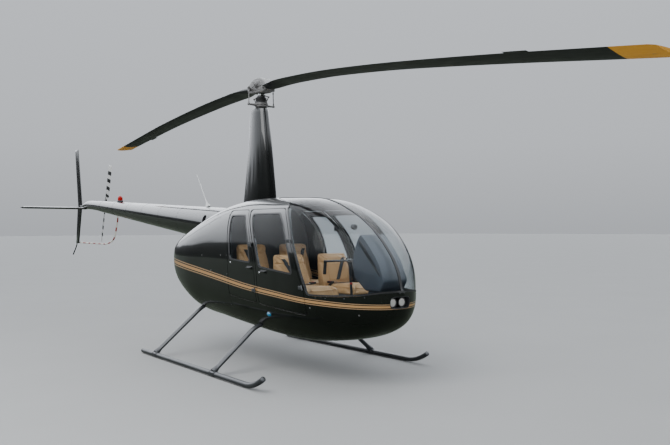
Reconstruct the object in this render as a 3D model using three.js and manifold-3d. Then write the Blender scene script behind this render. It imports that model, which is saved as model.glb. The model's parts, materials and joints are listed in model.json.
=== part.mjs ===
import * as THREE from 'three';
import { mergeVertices } from 'three/addons/utils/BufferGeometryUtils.js';
import Module from 'manifold-3d';

// A four-seat helicopter parked on its skids, in millimetres.
// X runs forward and Y to the left from the rotor mast's axis, and Z runs up from the ground.

const wasm = await Module();
wasm.setup();

// Fits between pieces.
const TOUCH = 0.3;
const DOOR_GAP = 6;
const SWING_ROOM = { behind: 17, least: 1.2, below: 7.5, from: 1300, to: 1690 };
const SPIN_GAP = 6;

// Wall, pane and post thicknesses of the body.
const WALL = 32;
const PANE = 7;
const PANE_INSET = 3;

// Body sections from the nose to the tail: station, roof, belly and waist heights, half width.
const BODY_SECTIONS = [
  { x: 2400, roof: 898, belly: 791, waist: 864, half: 32 },
  { x: 2340, roof: 1098, belly: 649, waist: 865, half: 205 },
  { x: 2220, roof: 1275, belly: 534, waist: 875, half: 353 },
  { x: 2000, roof: 1481, belly: 444, waist: 891, half: 498 },
  { x: 1700, roof: 1655, belly: 384, waist: 925, half: 631 },
  { x: 1300, roof: 1790, belly: 340, waist: 942, half: 664 },
  { x: 800, roof: 1826, belly: 345, waist: 955, half: 666 },
  { x: 300, roof: 1829, belly: 380, waist: 973, half: 664 },
  { x: -200, roof: 1768, belly: 421, waist: 1017, half: 664 },
  { x: -700, roof: 1606, belly: 475, waist: 1065, half: 660 },
  { x: -1100, roof: 1437, belly: 661, waist: 1124, half: 597 },
  { x: -1350, roof: 1272, belly: 824, waist: 1116, half: 413 },
  { x: -1500, roof: 1147, belly: 979, waist: 1117, half: 166 },
];
const ROOF_EXPONENT = 3;
const BELLY_EXPONENT = 2.5;
const FINE = { ring: 28, steps: 2 };
const COARSE = { ring: 20, steps: 1 };

// Seams in the side view, each point as [x, z].
const SILL = [[2700, 905], [2360, 900], [2250, 876], [2100, 864], [1937, 860], [1757, 862]];
const POST_FRONT = [
  [1757, 862], [1728, 946], [1685, 1045], [1615, 1206], [1519, 1368], [1411, 1534], [1242, 1688],
];
const POST_SPAN = { aft: 554, fore: 1800, foot: 862 };
const ROOF_SEAM = 1693;
const SHOULDER = [[183, 1693], [157, 1670], [0, 1631], [-199, 1555], [-375, 1495], [-568, 1428], [-1250, 1200]];
const REAR_SEAM = [[186, 1693], [206, 1650], [274, 1527], [332, 1363], [363, 1201], [382, 997], [388, 780]];
const COWL_FOOT = 640;
const COWL_AFT = -1250;
const ROOF_AFT = -100;

// The windshield's aft edge in the plan view, each point as [x, distance from the middle].
const WINDSHIELD_AFT = [[600, 0], [640, 150], [750, 255], [950, 335], [1150, 396], [1242, 450], [1230, 800]];
const STRIP_HALF = 21;

// Doors and their windows in the side view, each point as [x, z].
const FRONT_DOOR = [
  [613, 1687], [1212, 1687], [1384, 1534], [1492, 1368], [1588, 1206], [1658, 1045], [1701, 946],
  [1728, 862], [1732, 680], [993, 730], [963, 1100], [843, 1390],
];
const FRONT_WINDOW = [
  [680, 1645], [1190, 1645], [1336, 1530], [1441, 1374], [1528, 1205], [1578, 1046], [998, 1096], [880, 1374],
];
const REAR_DOOR = [
  [192, 1687], [561, 1687], [791, 1390], [911, 1100], [941, 733], [394, 776], [385, 997], [366, 1201], [335, 1363],
  [277, 1527],
];
const REAR_WINDOW = [[240, 1638], [560, 1636], [742, 1419], [838, 1132], [402, 1159], [364, 1363], [306, 1527]];
const DOOR_CORNER = 45;
const WINDOW_CORNER = 40;

// Door hinges: the pin's axis from its lower to its upper end, on the right side.
const FRONT_HINGE = { lower: [1726, -644, 930], upper: [1512, -635, 1368] };
const REAR_HINGE = { lower: [952, -679, 860], upper: [845, -664, 1320] };
const KNUCKLE = { radius: 6, length: 50 };
const HINGE_PLATE = { reach: 58, foot: 26, half: 16, thick: 6 };

// Cabin fittings.
const FLOOR = { top: 580, thick: 18, front: 2120, aft: 60 };
const FIREWALL = { x: 60, thick: 26 };
const SEAT_Y = 285;
const SEAT_WIDTH = 430;
const FRONT_SEAT = { back: 1010, front: 1615, cushionTop: 908, backTop: 1240, boxTop: 808 };
const REAR_SEAT = { back: 262, front: 760, cushionTop: 900, backTop: 1330, boxTop: 792 };
const CUSHION_THICK = 100;
const BACK_LEAN = 70;
const SEAT_BOX_HALF = 205;
const POD = {
  head: [
    [1862, 1130], [1884, 1270], [1958, 1404], [1985, 1426], [2120, 1426], [2320, 1000], [2260, 900], [2050, 900],
    [1900, 1010],
  ],
  half: 150, standTop: 940, standHalf: 110, corner: 14, clearOfWall: 12,
};
const PEDAL = { sides: [-320, -170, 170, 320], foot: 2010, top: [2030, 740], plate: [690, 770], half: 45 };
const LEVER = {
  sides: [-30, 528], foot: [1120, 660], tip: [1480, 860], radius: 14, bootTop: 680, bootRadius: 22,
};
const STICK = { foot: 1700, top: [1640, 1166], radius: 14, barHalf: 300, barRadius: 11, gripEnd: [1625, 1040] };
const GRIP_RADIUS = 17;

// What shows of the engine through the fan's opening and below the belly.
const ENGINE = {
  core: { x: [-900, -250], half: 250, z: [640, 1060] },
  cylinders: { x: [-780, -380], half: 420, z: [720, 960] },
};
const EXHAUST = { top: [-440, 210, 600], outlet: [-500, 240, 372], radius: 38 };
const FAN = { z: 1035, radius: 205, front: -1330, depth: 75, rim: 12, nose: 70 };

// Mast fairing sections from its foot up: height, fore and aft ends, half width.
const MAST_SECTIONS = [
  { z: 1700, fore: 262, aft: -380, half: 136 },
  { z: 1880, fore: 250, aft: -345, half: 130 },
  { z: 2150, fore: 218, aft: -300, half: 115 },
  { z: 2550, fore: 162, aft: -245, half: 97 },
  { z: 2900, fore: 106, aft: -207, half: 81 },
];

// Tail cone sections from its root aft: station, top and bottom heights.
const TAIL_SECTIONS = [
  { x: -450, top: 1735, bottom: 1246 },
  { x: -1000, top: 1765, bottom: 1309 },
  { x: -2050, top: 1820, bottom: 1430 },
  { x: -3470, top: 1897, bottom: 1592 },
  { x: -5000, top: 1981, bottom: 1768 },
  { x: -5590, top: 2007, bottom: 1836 },
  { x: -6020, top: 2018, bottom: 1868 },
  { x: -6350, top: 1955, bottom: 1875 },
];
const TAIL_WALL = 5;
const TAIL_SIDES = 20;

// Fins and stabiliser, in the side view or the plan view.
const UPPER_FIN = [[-6385, 1915], [-6620, 1915], [-6816, 3036], [-6622, 3036]];
const LOWER_FIN = [[-6400, 1914], [-6655, 1914], [-6741, 1225], [-6575, 1225]];
const FIN_HALF = 15;
const STABILISER = { fore: -6030, aft: -6340, root: -20, tip: -1128, z: 1886, thick: 44 };
const TAIL_SKID = [[-6650, 0, 1300], [-6705, 0, 1195], [-6915, 0, 1005]];
const TAIL_SKID_RADIUS = 11;
const GEARBOX = {
  radius: 62, from: 20, to: 150, neckRadius: 40, neckEnd: 190, drain: { y: 110, radius: 34, depth: 96 },
};
const ANTENNA = {
  foot: [[-1270, 1740], [-1400, 1740], [-1396, 1790], [-1352, 1838], [-1328, 1790]],
  footHalf: 14, whip: [[-1352, 0, 1815], [-1655, 0, 2236]], whipRadius: 6,
};
const BEACON = { x: -4460, foot: 1950, radius: 40, height: 106 };

// Rotors.
const MAIN_ROTOR = { chord: 254, thick: 30, hub: 3150, azimuth: -2.6, teeter: 4.2 };

// Blades as they droop at rest: distance from the mast, height, and angle, leading edge up.
const BLADE_FRONT = [
  { reach: 222, height: 3134, angle: -2, chord: 150, thick: 80 },
  { reach: 400, height: 3121, angle: -2, chord: 200, thick: 66 },
  { reach: 600, height: 3109, angle: -2.4 },
  { reach: 830, height: 3097, angle: -2.7 },
  { reach: 1360, height: 3056, angle: -3.2 },
  { reach: 1840, height: 3004, angle: -3.8 },
  { reach: 2460, height: 2925, angle: -4.5 },
  { reach: 3150, height: 2823, angle: -6 },
  { reach: 3870, height: 2710, angle: -7.5 },
  { reach: 4550, height: 2598, angle: -8.5 },
  { reach: 5022, height: 2521, angle: -8.8 },
];
const BLADE_AFT = [
  { reach: 222, height: 3166, angle: 6, chord: 150, thick: 80 },
  { reach: 400, height: 3176, angle: 6, chord: 200, thick: 66 },
  { reach: 600, height: 3179, angle: 6 },
  { reach: 830, height: 3176, angle: 6 },
  { reach: 1360, height: 3164, angle: 5.5 },
  { reach: 2025, height: 3134, angle: 4.5 },
  { reach: 2600, height: 3101, angle: 3 },
  { reach: 3190, height: 3061, angle: 2 },
  { reach: 3990, height: 2991, angle: -0.5 },
  { reach: 5022, height: 2899, angle: -3 },
];
const TIP_RAKE = 0.16;
const SHAFT_RADIUS = 28;
const TAIL_ROTOR = {
  x: -5893, y: 270, z: 1968, radius: 736, chord: 118, thick: 14, lean: 16, pitch: 11, rootStart: 95,
};

// The ring under the hub that steers the blades, and its boot as a profile of [radius, height].
const STEERING = {
  ring: 2947, ringHalf: 26, ringRadius: 78, arm: 168, linkRadius: 9, linkTop: 3123,
  boot: [[0, 2970], [74, 2970], [72, 2998], [60, 3004], [70, 3020], [52, 3060], [0, 3060]],
};

// Tail rotor guard: the tube's middle line.
const GUARD = [
  [-4800, 70, 1790], [-4836, 100, 1722], [-5002, 140, 1514], [-5119, 150, 1346], [-5216, 150, 1290],
  [-5411, 140, 1236], [-5701, 120, 1228], [-5974, 95, 1230], [-6590, 16, 1241],
];
const GUARD_RADIUS = 13;

// Landing gear.
const SKID = { y: 1044, radius: 27, aft: -997, bend: 1382, tip: 1691, tipHeight: 132, shoe: 10 };
const STRUT_STATIONS = {
  front: { x: 759, hull: [547, 463], inner: [300, 522] },
  rear: { x: -626, hull: [461, 537], inner: [300, 600] },
};
const STRUT_HALF = { x: 33, across: 22 };

// Lamps in the nose.
const LAMP = { y: 56, z: 803, radius: 46, face: 2350 };
const LAMP_RECESS = { half: 124, low: 748, high: 862, corner: 50, back: 2262, wall: 5 };

// Materials as they look on the real machine.
function finish(color, roughness, metalness, opacity = 1) {
  return new THREE.MeshStandardMaterial({ color, roughness, metalness, opacity, transparent: opacity < 1 });
}
const BLACK_PAINT = finish(0x0a0c0b, 0.12, 0.2);
const GLAZING = finish(0x9fb0b8, 0.05, 0, 0.35);
const DARK_TRIM = finish(0x1a1b1d, 0.6, 0.1);
const TAN_LEATHER = finish(0xb98f5f, 0.6, 0);
const GREY_METAL = finish(0x8b8d90, 0.4, 0.8);
const GEAR_PAINT = finish(0x2a2d30, 0.4, 0.4);
const BLADE_PAINT = finish(0x101112, 0.5, 0.1);
const WHITE_PAINT = finish(0xe4e6e6, 0.4, 0);
const RED_LENS = finish(0x9c1410, 0.2, 0);
const EXHAUST_STEEL = finish(0x6d5c4c, 0.5, 0.8);

// Geometry to solid and back.
function solid(geometry) {
  const bare = geometry.index ? geometry.clone() : geometry;
  bare.deleteAttribute('normal');
  bare.deleteAttribute('uv');
  const merged = mergeVertices(bare, 1e-3);
  const vertProperties = Float32Array.from(merged.attributes.position.array);
  const triVerts = Uint32Array.from(merged.index.array);
  const made = new wasm.Manifold(new wasm.Mesh({ numProp: 3, vertProperties, triVerts }));
  return made.volume() > 0 ? made : solid(turnedInsideOut(merged));
}

function turnedInsideOut(geometry) {
  const index = Array.from(geometry.index.array);
  for (let i = 0; i < index.length; i += 3) {
    [index[i], index[i + 1]] = [index[i + 1], index[i]];
  }
  const turned = new THREE.BufferGeometry();
  turned.setAttribute('position', geometry.attributes.position);
  turned.setIndex(index);
  return turned;
}

function geometryOf(made) {
  const mesh = made.getMesh();
  const geometry = new THREE.BufferGeometry();
  geometry.setAttribute('position', new THREE.BufferAttribute(Float32Array.from(mesh.vertProperties), 3));
  geometry.setIndex(Array.from(mesh.triVerts));
  geometry.computeVertexNormals();
  return geometry;
}

function joined(solids) {
  return solids.reduce((sum, next) => sum.add(next));
}

// Simple solids.
function box(x, y, z) {
  const geometry = new THREE.BoxGeometry(x[1] - x[0], y[1] - y[0], z[1] - z[0]);
  geometry.translate((x[0] + x[1]) / 2, (y[0] + y[1]) / 2, (z[0] + z[1]) / 2);
  return solid(geometry);
}

function rod(from, to, radius, sides = 12) {
  const start = new THREE.Vector3(...from);
  const along = new THREE.Vector3(...to).sub(start);
  const geometry = new THREE.CylinderGeometry(radius, radius, along.length(), sides);
  geometry.translate(0, along.length() / 2, 0);
  const turn = new THREE.Quaternion().setFromUnitVectors(new THREE.Vector3(0, 1, 0), along.clone().normalize());
  geometry.applyQuaternion(turn);
  geometry.translate(start.x, start.y, start.z);
  return solid(geometry);
}

function lathe(profile, sides = 20) {
  const geometry = new THREE.LatheGeometry(profile.map(([r, z]) => new THREE.Vector2(r, z)), sides);
  geometry.rotateX(Math.PI / 2);
  return solid(geometry);
}

function tube(points, radius, steps, sides = 4) {
  const path = new THREE.CatmullRomCurve3(points.map((p) => new THREE.Vector3(...p)), false, 'centripetal');
  const ring = new THREE.Shape();
  ring.absarc(0, 0, radius, 0, Math.PI * 2);
  return solid(new THREE.ExtrudeGeometry(ring, { steps, extrudePath: path, curveSegments: sides }));
}

// A flat outline with its corners rounded where a radius is given.
function outline(points, radius = 0) {
  const shape = new THREE.Shape();
  points.forEach(([x, y], i) => {
    const here = new THREE.Vector2(x, y);
    const before = new THREE.Vector2(...points.at(i - 1));
    const after = new THREE.Vector2(...points[(i + 1) % points.length]);
    const cut = Math.min(radius, here.distanceTo(before) / 2.2, here.distanceTo(after) / 2.2);
    const start = here.clone().add(before.sub(here).setLength(cut));
    const end = here.clone().add(after.sub(here).setLength(cut));
    if (i === 0) shape.moveTo(start.x, start.y);
    else shape.lineTo(start.x, start.y);
    if (cut > 0) shape.quadraticCurveTo(here.x, here.y, end.x, end.y);
  });
  shape.closePath();
  return shape;
}

// Prisms: a side-view outline run along Y, a plan outline run along Z, a front outline run along X.
function sidePrism(points, y, radius = 0) {
  const depth = y[1] - y[0];
  const options = { depth, bevelEnabled: false, curveSegments: 2 };
  const geometry = new THREE.ExtrudeGeometry(outline(points, radius), options);
  return solid(geometry.rotateX(Math.PI / 2).translate(0, y[1], 0));
}

function planPrism(points, z) {
  const geometry = new THREE.ExtrudeGeometry(outline(points), { depth: z[1] - z[0], bevelEnabled: false });
  return solid(geometry.translate(0, 0, z[0]));
}

function frontPrism(points, x, radius = 0) {
  const depth = x[1] - x[0];
  const options = { depth, bevelEnabled: false, curveSegments: 2 };
  const geometry = new THREE.ExtrudeGeometry(outline(points, radius), options);
  const turn = new THREE.Matrix4().makeBasis(
    new THREE.Vector3(0, 1, 0), new THREE.Vector3(0, 0, 1), new THREE.Vector3(1, 0, 0));
  return solid(geometry.applyMatrix4(turn).translate(x[0], 0, 0));
}

// A closed skin over rings that all have the same number of points.
function loft(rings) {
  const count = rings[0].length;
  const last = (rings.length - 1) * count;
  const faces = [];
  for (let r = 0; r + 1 < rings.length; r += 1) {
    for (let i = 0; i < count; i += 1) {
      const a = r * count + i;
      const b = r * count + (i + 1) % count;
      faces.push(a, b, b + count, a, b + count, a + count);
    }
  }
  for (let i = 1; i + 1 < count; i += 1) {
    faces.push(0, i + 1, i, last, last + i, last + i + 1);
  }
  const geometry = new THREE.BufferGeometry();
  const places = rings.flat().flatMap((p) => p.toArray());
  geometry.setAttribute('position', new THREE.Float32BufferAttribute(places, 3));
  geometry.setIndex(faces);
  return solid(geometry);
}

// The offset of an outline, for gaps round a door: each corner moves out along its bisector.
function grown(points, distance) {
  const area = points.reduce((sum, [x, y], i) => {
    const [nx, ny] = points[(i + 1) % points.length];
    return sum + x * ny - nx * y;
  }, 0);
  const sign = Math.sign(area) * distance;
  return points.map(([x, y], i) => {
    const here = new THREE.Vector2(x, y);
    const arrive = here.clone().sub(new THREE.Vector2(...points.at(i - 1))).normalize();
    const leave = new THREE.Vector2(...points[(i + 1) % points.length]).sub(here).normalize();
    const normal = new THREE.Vector2(arrive.y + leave.y, -arrive.x - leave.x).normalize();
    const reach = sign / Math.max(0.5, normal.dot(new THREE.Vector2(arrive.y, -arrive.x)));
    return [x + normal.x * reach, y + normal.y * reach];
  });
}

function mirrored(made) {
  return made.mirror([0, 1, 0]);
}

// The body's surface. Sections are blended smoothly from row to row of the table.
function sectionAt(place) {
  const last = BODY_SECTIONS.length - 1;
  const row = Math.min(Math.floor(place), last - 1);
  const t = place - row;
  const rows = [row - 1, row, row + 1, row + 2].map((i) => BODY_SECTIONS[Math.min(Math.max(i, 0), last)]);
  const blend = (key) => {
    const [p, a, b, n] = rows.map((section) => section[key]);
    return a + 0.5 * t * (b - p + t * (2 * p - 5 * a + 4 * b - n + t * (3 * (a - b) + n - p)));
  };
  return Object.fromEntries(Object.keys(BODY_SECTIONS[0]).map((key) => [key, blend(key)]));
}

function surfacePoint(place, angle) {
  const section = sectionAt(place);
  const above = Math.sin(angle) >= 0;
  const power = 2 / (above ? ROOF_EXPONENT : BELLY_EXPONENT);
  const rise = above ? section.roof - section.waist : section.waist - section.belly;
  const across = Math.sign(Math.cos(angle)) * Math.abs(Math.cos(angle)) ** power;
  const up = Math.sign(Math.sin(angle)) * Math.abs(Math.sin(angle)) ** power;
  return new THREE.Vector3(section.x, section.half * across, section.waist + rise * up);
}

function insetPoint(place, angle, inset) {
  const last = BODY_SECTIONS.length - 1;
  const ahead = surfacePoint(Math.max(place - 0.02, 0), angle);
  const along = surfacePoint(Math.min(place + 0.02, last), angle).sub(ahead);
  const round = surfacePoint(place, angle + 0.04).sub(surfacePoint(place, angle - 0.04));
  const normal = new THREE.Vector3().crossVectors(along, round).normalize();
  const middle = new THREE.Vector3(800, 0, 1000);
  const point = surfacePoint(place, angle);
  if (normal.dot(point.clone().sub(middle)) < 0) normal.negate();
  return point.addScaledVector(normal, -inset);
}

function bodySolid(inset, { ring, steps } = FINE) {
  const rings = [];
  for (let s = 0; s <= (BODY_SECTIONS.length - 1) * steps; s += 1) {
    const angles = Array.from({ length: ring }, (_, i) => ((i + 0.5) / ring) * Math.PI * 2);
    rings.push(angles.map((angle) => insetPoint(s / steps, angle, inset)));
  }
  return loft(rings);
}

const OUTER = bodySolid(0);
const OUTER_CLEAR = bodySolid(-TOUCH);
const INNER = bodySolid(WALL, COARSE);
const INNER_CLEAR = bodySolid(WALL + TOUCH, COARSE);
const SKIN = OUTER.subtract(INNER);
const PANE_SKIN = bodySolid(PANE_INSET).subtract(bodySolid(PANE_INSET + PANE));

// Regions that split the body where its real panels meet.
const RIGHT = [-900, 0];
const BOTH = [-900, 900];
const HIGH = 2100;
const LOW = 200;
const NOSE = 2700;
const TAIL_END = -1700;

function windshieldRegion(gap) {
  const side = [...SILL.map(([x, z]) => [x, z + gap]), ...POST_FRONT.map(([x, z]) => [x + gap, z]),
    [500, ROOF_SEAM - 3], [500, HIGH], [NOSE, HIGH]];
  const edge = WINDSHIELD_AFT.map(([x, y]) => [x + gap, y]);
  const plan = [...edge, [NOSE, 800], [NOSE, -800], ...edge.slice(1).reverse().map(([x, y]) => [x, -y])];
  return sidePrism(side, BOTH).intersect(planPrism(plan, [LOW, HIGH]));
}

function shoulderRegion(gap) {
  const seam = SHOULDER.map(([x, z]) => [x, z + gap]);
  const high = [[TAIL_END, 1050 + gap], [TAIL_END, HIGH], [NOSE, HIGH]];
  return sidePrism([[NOSE, ROOF_SEAM + gap], ...seam, ...high], BOTH);
}

function doorRegion(points, gap) {
  return sidePrism(grown(points, gap), RIGHT, DOOR_CORNER);
}

function bothSides(made) {
  return made.add(mirrored(made));
}

// A doorway leaves more room behind the door's leaning top, which sweeps aft, and below its foot.
function doorway(points) {
  const { behind, least, below, from, to } = SWING_ROOM;
  const byHeight = points.toSorted((a, b) => a[1] - b[1]);
  const foot = (byHeight[0][0] + byHeight[1][0]) / 2;
  const head = (byHeight.at(-1)[0] + byHeight.at(-2)[0]) / 2;
  const roomy = grown(points, DOOR_GAP).map(([x, z]) => {
    const middle = THREE.MathUtils.mapLinear(z, byHeight[0][1], byHeight.at(-1)[1], foot, head);
    const aft = Math.max(least, behind * THREE.MathUtils.mapLinear(z, from, to, 0, 1));
    return [x < middle ? x - aft : x, z < FRONT_DOOR[7][1] ? z - below : z];
  });
  return sidePrism(roomy, RIGHT, DOOR_CORNER);
}

const DOORWAYS = bothSides(doorway(FRONT_DOOR).add(doorway(REAR_DOOR)));
const WINDSHIELD = windshieldRegion(0);
const WINDSHIELD_CLEAR = windshieldRegion(-TOUCH);

function tailConeSolid(grow, forward = 0) {
  const rings = TAIL_SECTIONS.map(({ x, top, bottom }, row) => {
    const radius = (top - bottom) / 2 + grow;
    const middle = (top + bottom) / 2;
    const station = row === 0 ? x + forward : x;
    return Array.from({ length: TAIL_SIDES }, (_, i) => {
      const angle = ((i + 0.5) / TAIL_SIDES) * Math.PI * 2;
      return new THREE.Vector3(station, radius * Math.cos(angle), middle + radius * Math.sin(angle));
    });
  });
  return loft(rings);
}

const TAIL_CONE_CLEAR = tailConeSolid(TOUCH, 5);

// Landing gear.
function skid(side) {
  const { y, radius, aft, bend, tip, tipHeight, shoe } = SKID;
  const height = radius + shoe - 4;
  const path = new THREE.CurvePath();
  const [heel, turn, middle] = [aft, bend, (bend + tip) / 2].map((x) => new THREE.Vector3(x, y * side, height));
  path.add(new THREE.LineCurve3(heel, turn));
  path.add(new THREE.QuadraticBezierCurve3(turn, middle, new THREE.Vector3(tip, y * side, tipHeight)));
  const stations = [0, 1].map((t) => path.curves[0].getPoint(t));
  for (let i = 1; i <= 6; i += 1) stations.push(path.curves[1].getPoint(i / 6));
  const rings = stations.map((centre, i) => {
    const next = stations[Math.min(i + 1, stations.length - 1)];
    const ahead = next.clone().sub(stations[Math.max(i - 1, 0)]).normalize();
    const up = new THREE.Vector3(0, 1, 0).cross(ahead).normalize().negate();
    return Array.from({ length: 14 }, (_, k) => {
      const angle = ((k + 0.5) / 14) * Math.PI * 2;
      return centre.clone().addScaledVector(up, radius * Math.sin(angle))
        .add(new THREE.Vector3(0, radius * Math.cos(angle), 0));
    });
  });
  const pad = box([aft + 30, bend - 10], [y * side - 20, y * side + 20], [0, shoe]);
  return loft(rings).add(pad);
}

function strutPath({ x, hull, inner }) {
  const foot = [SKID.y, SKID.radius * 2 + SKID.shoe - 8];
  return [foot, hull, inner].map(([y, z]) => new THREE.Vector3(x, y, z));
}

function strut(station, grow = 0) {
  const [foot, hull, inner] = strutPath(station);
  const slope = hull.clone().sub(foot).normalize();
  const normal = new THREE.Vector3(1, 0, 0).cross(slope).normalize();
  const ring = (centre, across) => Array.from({ length: 12 }, (_, k) => {
    const angle = ((k + 0.5) / 12) * Math.PI * 2;
    return centre.clone().add(new THREE.Vector3((STRUT_HALF.x + grow) * Math.cos(angle), 0, 0))
      .addScaledVector(across, (STRUT_HALF.across + grow) * Math.sin(angle));
  });
  const flat = new THREE.Vector3(0, 0, -1);
  const elbow = normal.clone().add(flat).normalize();
  const middle = new THREE.Vector3(inner.x, 0, inner.z);
  return loft([ring(foot, normal), ring(hull, normal), ring(inner, elbow), ring(middle, flat)]);
}

function crossTube(station, grow = 0) {
  const half = strut(station, grow);
  const bridge = box([station.x - STRUT_HALF.x + 6, station.x + STRUT_HALF.x - 6], [-20, 20],
    [station.inner[1] - 12, station.inner[1] + 12]);
  const whole = half.add(mirrored(half)).add(bridge);
  return grow > 0 ? whole : whole.subtract(bothSkids(TOUCH));
}

function bothSkids(grow) {
  const height = SKID.radius + SKID.shoe - 4;
  return bothSides(rod([SKID.aft, SKID.y, height], [SKID.bend, SKID.y, height], SKID.radius + grow, 14));
}

const STRUTS_CLEAR = joined(Object.values(STRUT_STATIONS).map((station) => crossTube(station, 1)));

function lampRecess(inset, back) {
  const half = LAMP_RECESS.half - inset;
  const low = LAMP_RECESS.low + inset;
  const high = LAMP_RECESS.high - inset;
  return frontPrism([[-half, low], [half, low], [half, high], [-half, high]], [back, NOSE], LAMP_RECESS.corner);
}

// Body panels.
function hull() {
  const aft = REAR_SEAM.at(-1)[0];
  const side = [...SILL, [aft, POST_SPAN.foot], [aft, COWL_FOOT], [COWL_AFT, COWL_FOOT], [COWL_AFT, LOW],
    [NOSE, LOW]];
  const recess = lampRecess(0, 2200);
  return SKIN.intersect(sidePrism(side, BOTH)).subtract(WINDSHIELD_CLEAR).subtract(DOORWAYS).subtract(recess)
    .subtract(STRUTS_CLEAR).subtract(exhaust(2));
}

function posts() {
  const { aft, fore, foot } = POST_SPAN;
  const side = [[aft, foot + TOUCH], [fore, foot + TOUCH], [fore, ROOF_SEAM], [aft, ROOF_SEAM]];
  return SKIN.intersect(sidePrism(side, RIGHT)).subtract(DOORWAYS).subtract(WINDSHIELD_CLEAR);
}

function roofPanel() {
  const front = box([ROOF_AFT + TOUCH, NOSE], BOTH, [LOW, HIGH]);
  return SKIN.intersect(shoulderRegion(TOUCH)).intersect(front).subtract(WINDSHIELD_CLEAR).subtract(DOORWAYS);
}

function topCowl() {
  const aft = box([COWL_AFT, ROOF_AFT], BOTH, [LOW, HIGH]);
  return SKIN.intersect(shoulderRegion(TOUCH)).intersect(aft).subtract(TAIL_CONE_CLEAR);
}

function engineCowl() {
  const seam = REAR_SEAM.toReversed().map(([x, z]) => [x - 3, z]);
  const foot = COWL_FOOT + TOUCH;
  const side = [...SHOULDER.slice(1), [COWL_AFT, foot], [seam[0][0] - 3, foot], ...seam];
  return SKIN.intersect(sidePrism(side, [-900, -TOUCH])).subtract(DOORWAYS).subtract(TAIL_CONE_CLEAR);
}

function tailCowl() {
  const aft = box([TAIL_END, COWL_AFT - TOUCH], BOTH, [LOW, HIGH]);
  const hole = rod([TAIL_END, 0, FAN.z], [COWL_AFT - 50, 0, FAN.z], FAN.radius, 20);
  return SKIN.intersect(aft).subtract(hole).subtract(TAIL_CONE_CLEAR);
}

function fan() {
  const { radius, depth, rim, nose, front, z } = FAN;
  const edge = radius - 4;
  const ring = lathe([[0, 0], [edge, 0], [edge, depth], [edge - rim, depth], [edge - rim, rim], [60, rim],
    [45, nose - 10], [0, nose]], 20);
  return ring.rotate([0, -90, 0]).translate([front, 0, z]);
}

// Doors, each with its two hinge knuckles on plates that stand off the skin.
function doorPanel(points, windowPoints, { lower, upper }) {
  const opening = sidePrism(windowPoints, RIGHT, WINDOW_CORNER);
  const region = doorRegion(points, 0);
  const pin = new THREE.Vector3(...upper).sub(new THREE.Vector3(...lower)).setLength(KNUCKLE.length / 2);
  const hinges = [lower, upper].map((end) => hinge(new THREE.Vector3(...end), pin, region));
  return joined([SKIN.intersect(region).subtract(opening), ...hinges]);
}

function hinge(centre, halfPin, region) {
  const { reach, foot, half, thick } = HINGE_PLATE;
  const { x, y, z } = centre;
  const ends = [-1, 1].map((way) => centre.clone().addScaledVector(halfPin, way).toArray());
  const knuckle = rod(...ends, KNUCKLE.radius, 8);
  const plate = box([x - reach, x], [y - thick / 2, y + thick / 2], [z - half, z + half]);
  const block = box([x - reach, x - reach + foot], [y, y + WALL], [z - half, z + half]);
  return joined([knuckle, plate, block.intersect(region).subtract(INNER)]);
}

function doorPane(windowPoints) {
  return PANE_SKIN.intersect(sidePrism(grown(windowPoints, -TOUCH), RIGHT, WINDOW_CORNER));
}

function windshieldHalf() {
  const right = box([400, NOSE], [-900, -STRIP_HALF - TOUCH], [LOW, HIGH]);
  return PANE_SKIN.intersect(WINDSHIELD).intersect(right);
}

function windshieldStrip() {
  const skin = bodySolid(-2).subtract(bodySolid(22));
  return skin.intersect(WINDSHIELD).intersect(box([400, NOSE], [-STRIP_HALF, STRIP_HALF], [LOW, HIGH]));
}

// Cabin fittings.
function cabinFloor() {
  const { top, thick, front, aft } = FLOOR;
  const plate = box([aft, front], BOTH, [top - thick, top]);
  const wall = box([FIREWALL.x, FIREWALL.x + FIREWALL.thick], BOTH, [top, HIGH]);
  const width = [SEAT_Y - SEAT_BOX_HALF, SEAT_Y + SEAT_BOX_HALF];
  const boxes = [FRONT_SEAT, REAR_SEAT].map(({ back, front: end, boxTop }) => box([back - 20, end - 30], width,
    [top - 1, boxTop]));
  const backFrame = leaning(FRONT_SEAT, 18, -18, 14);
  const seats = joined([...boxes, backFrame]);
  return joined([plate, wall, bothSides(seats), pedalsAndLevers()]).intersect(INNER_CLEAR);
}

function leaning({ back, boxTop, backTop }, thick, offset, narrower) {
  const foot = back + offset;
  const side = [[foot, boxTop - 6], [foot + thick, boxTop - 6], [foot + thick - BACK_LEAN, backTop - 30],
    [foot - BACK_LEAN, backTop - 30]];
  return sidePrism(side, [SEAT_Y - SEAT_WIDTH / 2 + narrower, SEAT_Y + SEAT_WIDTH / 2 - narrower]);
}

function seat({ back, front, cushionTop, backTop, boxTop }) {
  const foot = back + 2;
  const cushion = [[foot, boxTop + 1], [front, boxTop + 1], [front + 4, cushionTop - 12], [front - 20, cushionTop]];
  const crease = [[foot + CUSHION_THICK + 20, cushionTop - 22], [foot + CUSHION_THICK + 8, cushionTop]];
  const head = foot - BACK_LEAN;
  const side = [...cushion, ...crease, [head + 70, backTop - 10], [head + 45, backTop], [head + 2, backTop - 14]];
  return sidePrism(side, [SEAT_Y - SEAT_WIDTH / 2, SEAT_Y + SEAT_WIDTH / 2]).intersect(INNER_CLEAR);
}

function instrumentPod() {
  const { half, standTop, standHalf, corner, clearOfWall } = POD;
  const foot = FLOOR.top + TOUCH;
  const head = sidePrism(POD.head, [-half, half], corner);
  const side = [[2060, standTop], [2230, standTop], [2190, foot], [1980, foot]];
  const stand = sidePrism(side, [-standHalf, standHalf]);
  return head.add(stand).intersect(bodySolid(WALL + clearOfWall));
}

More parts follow.
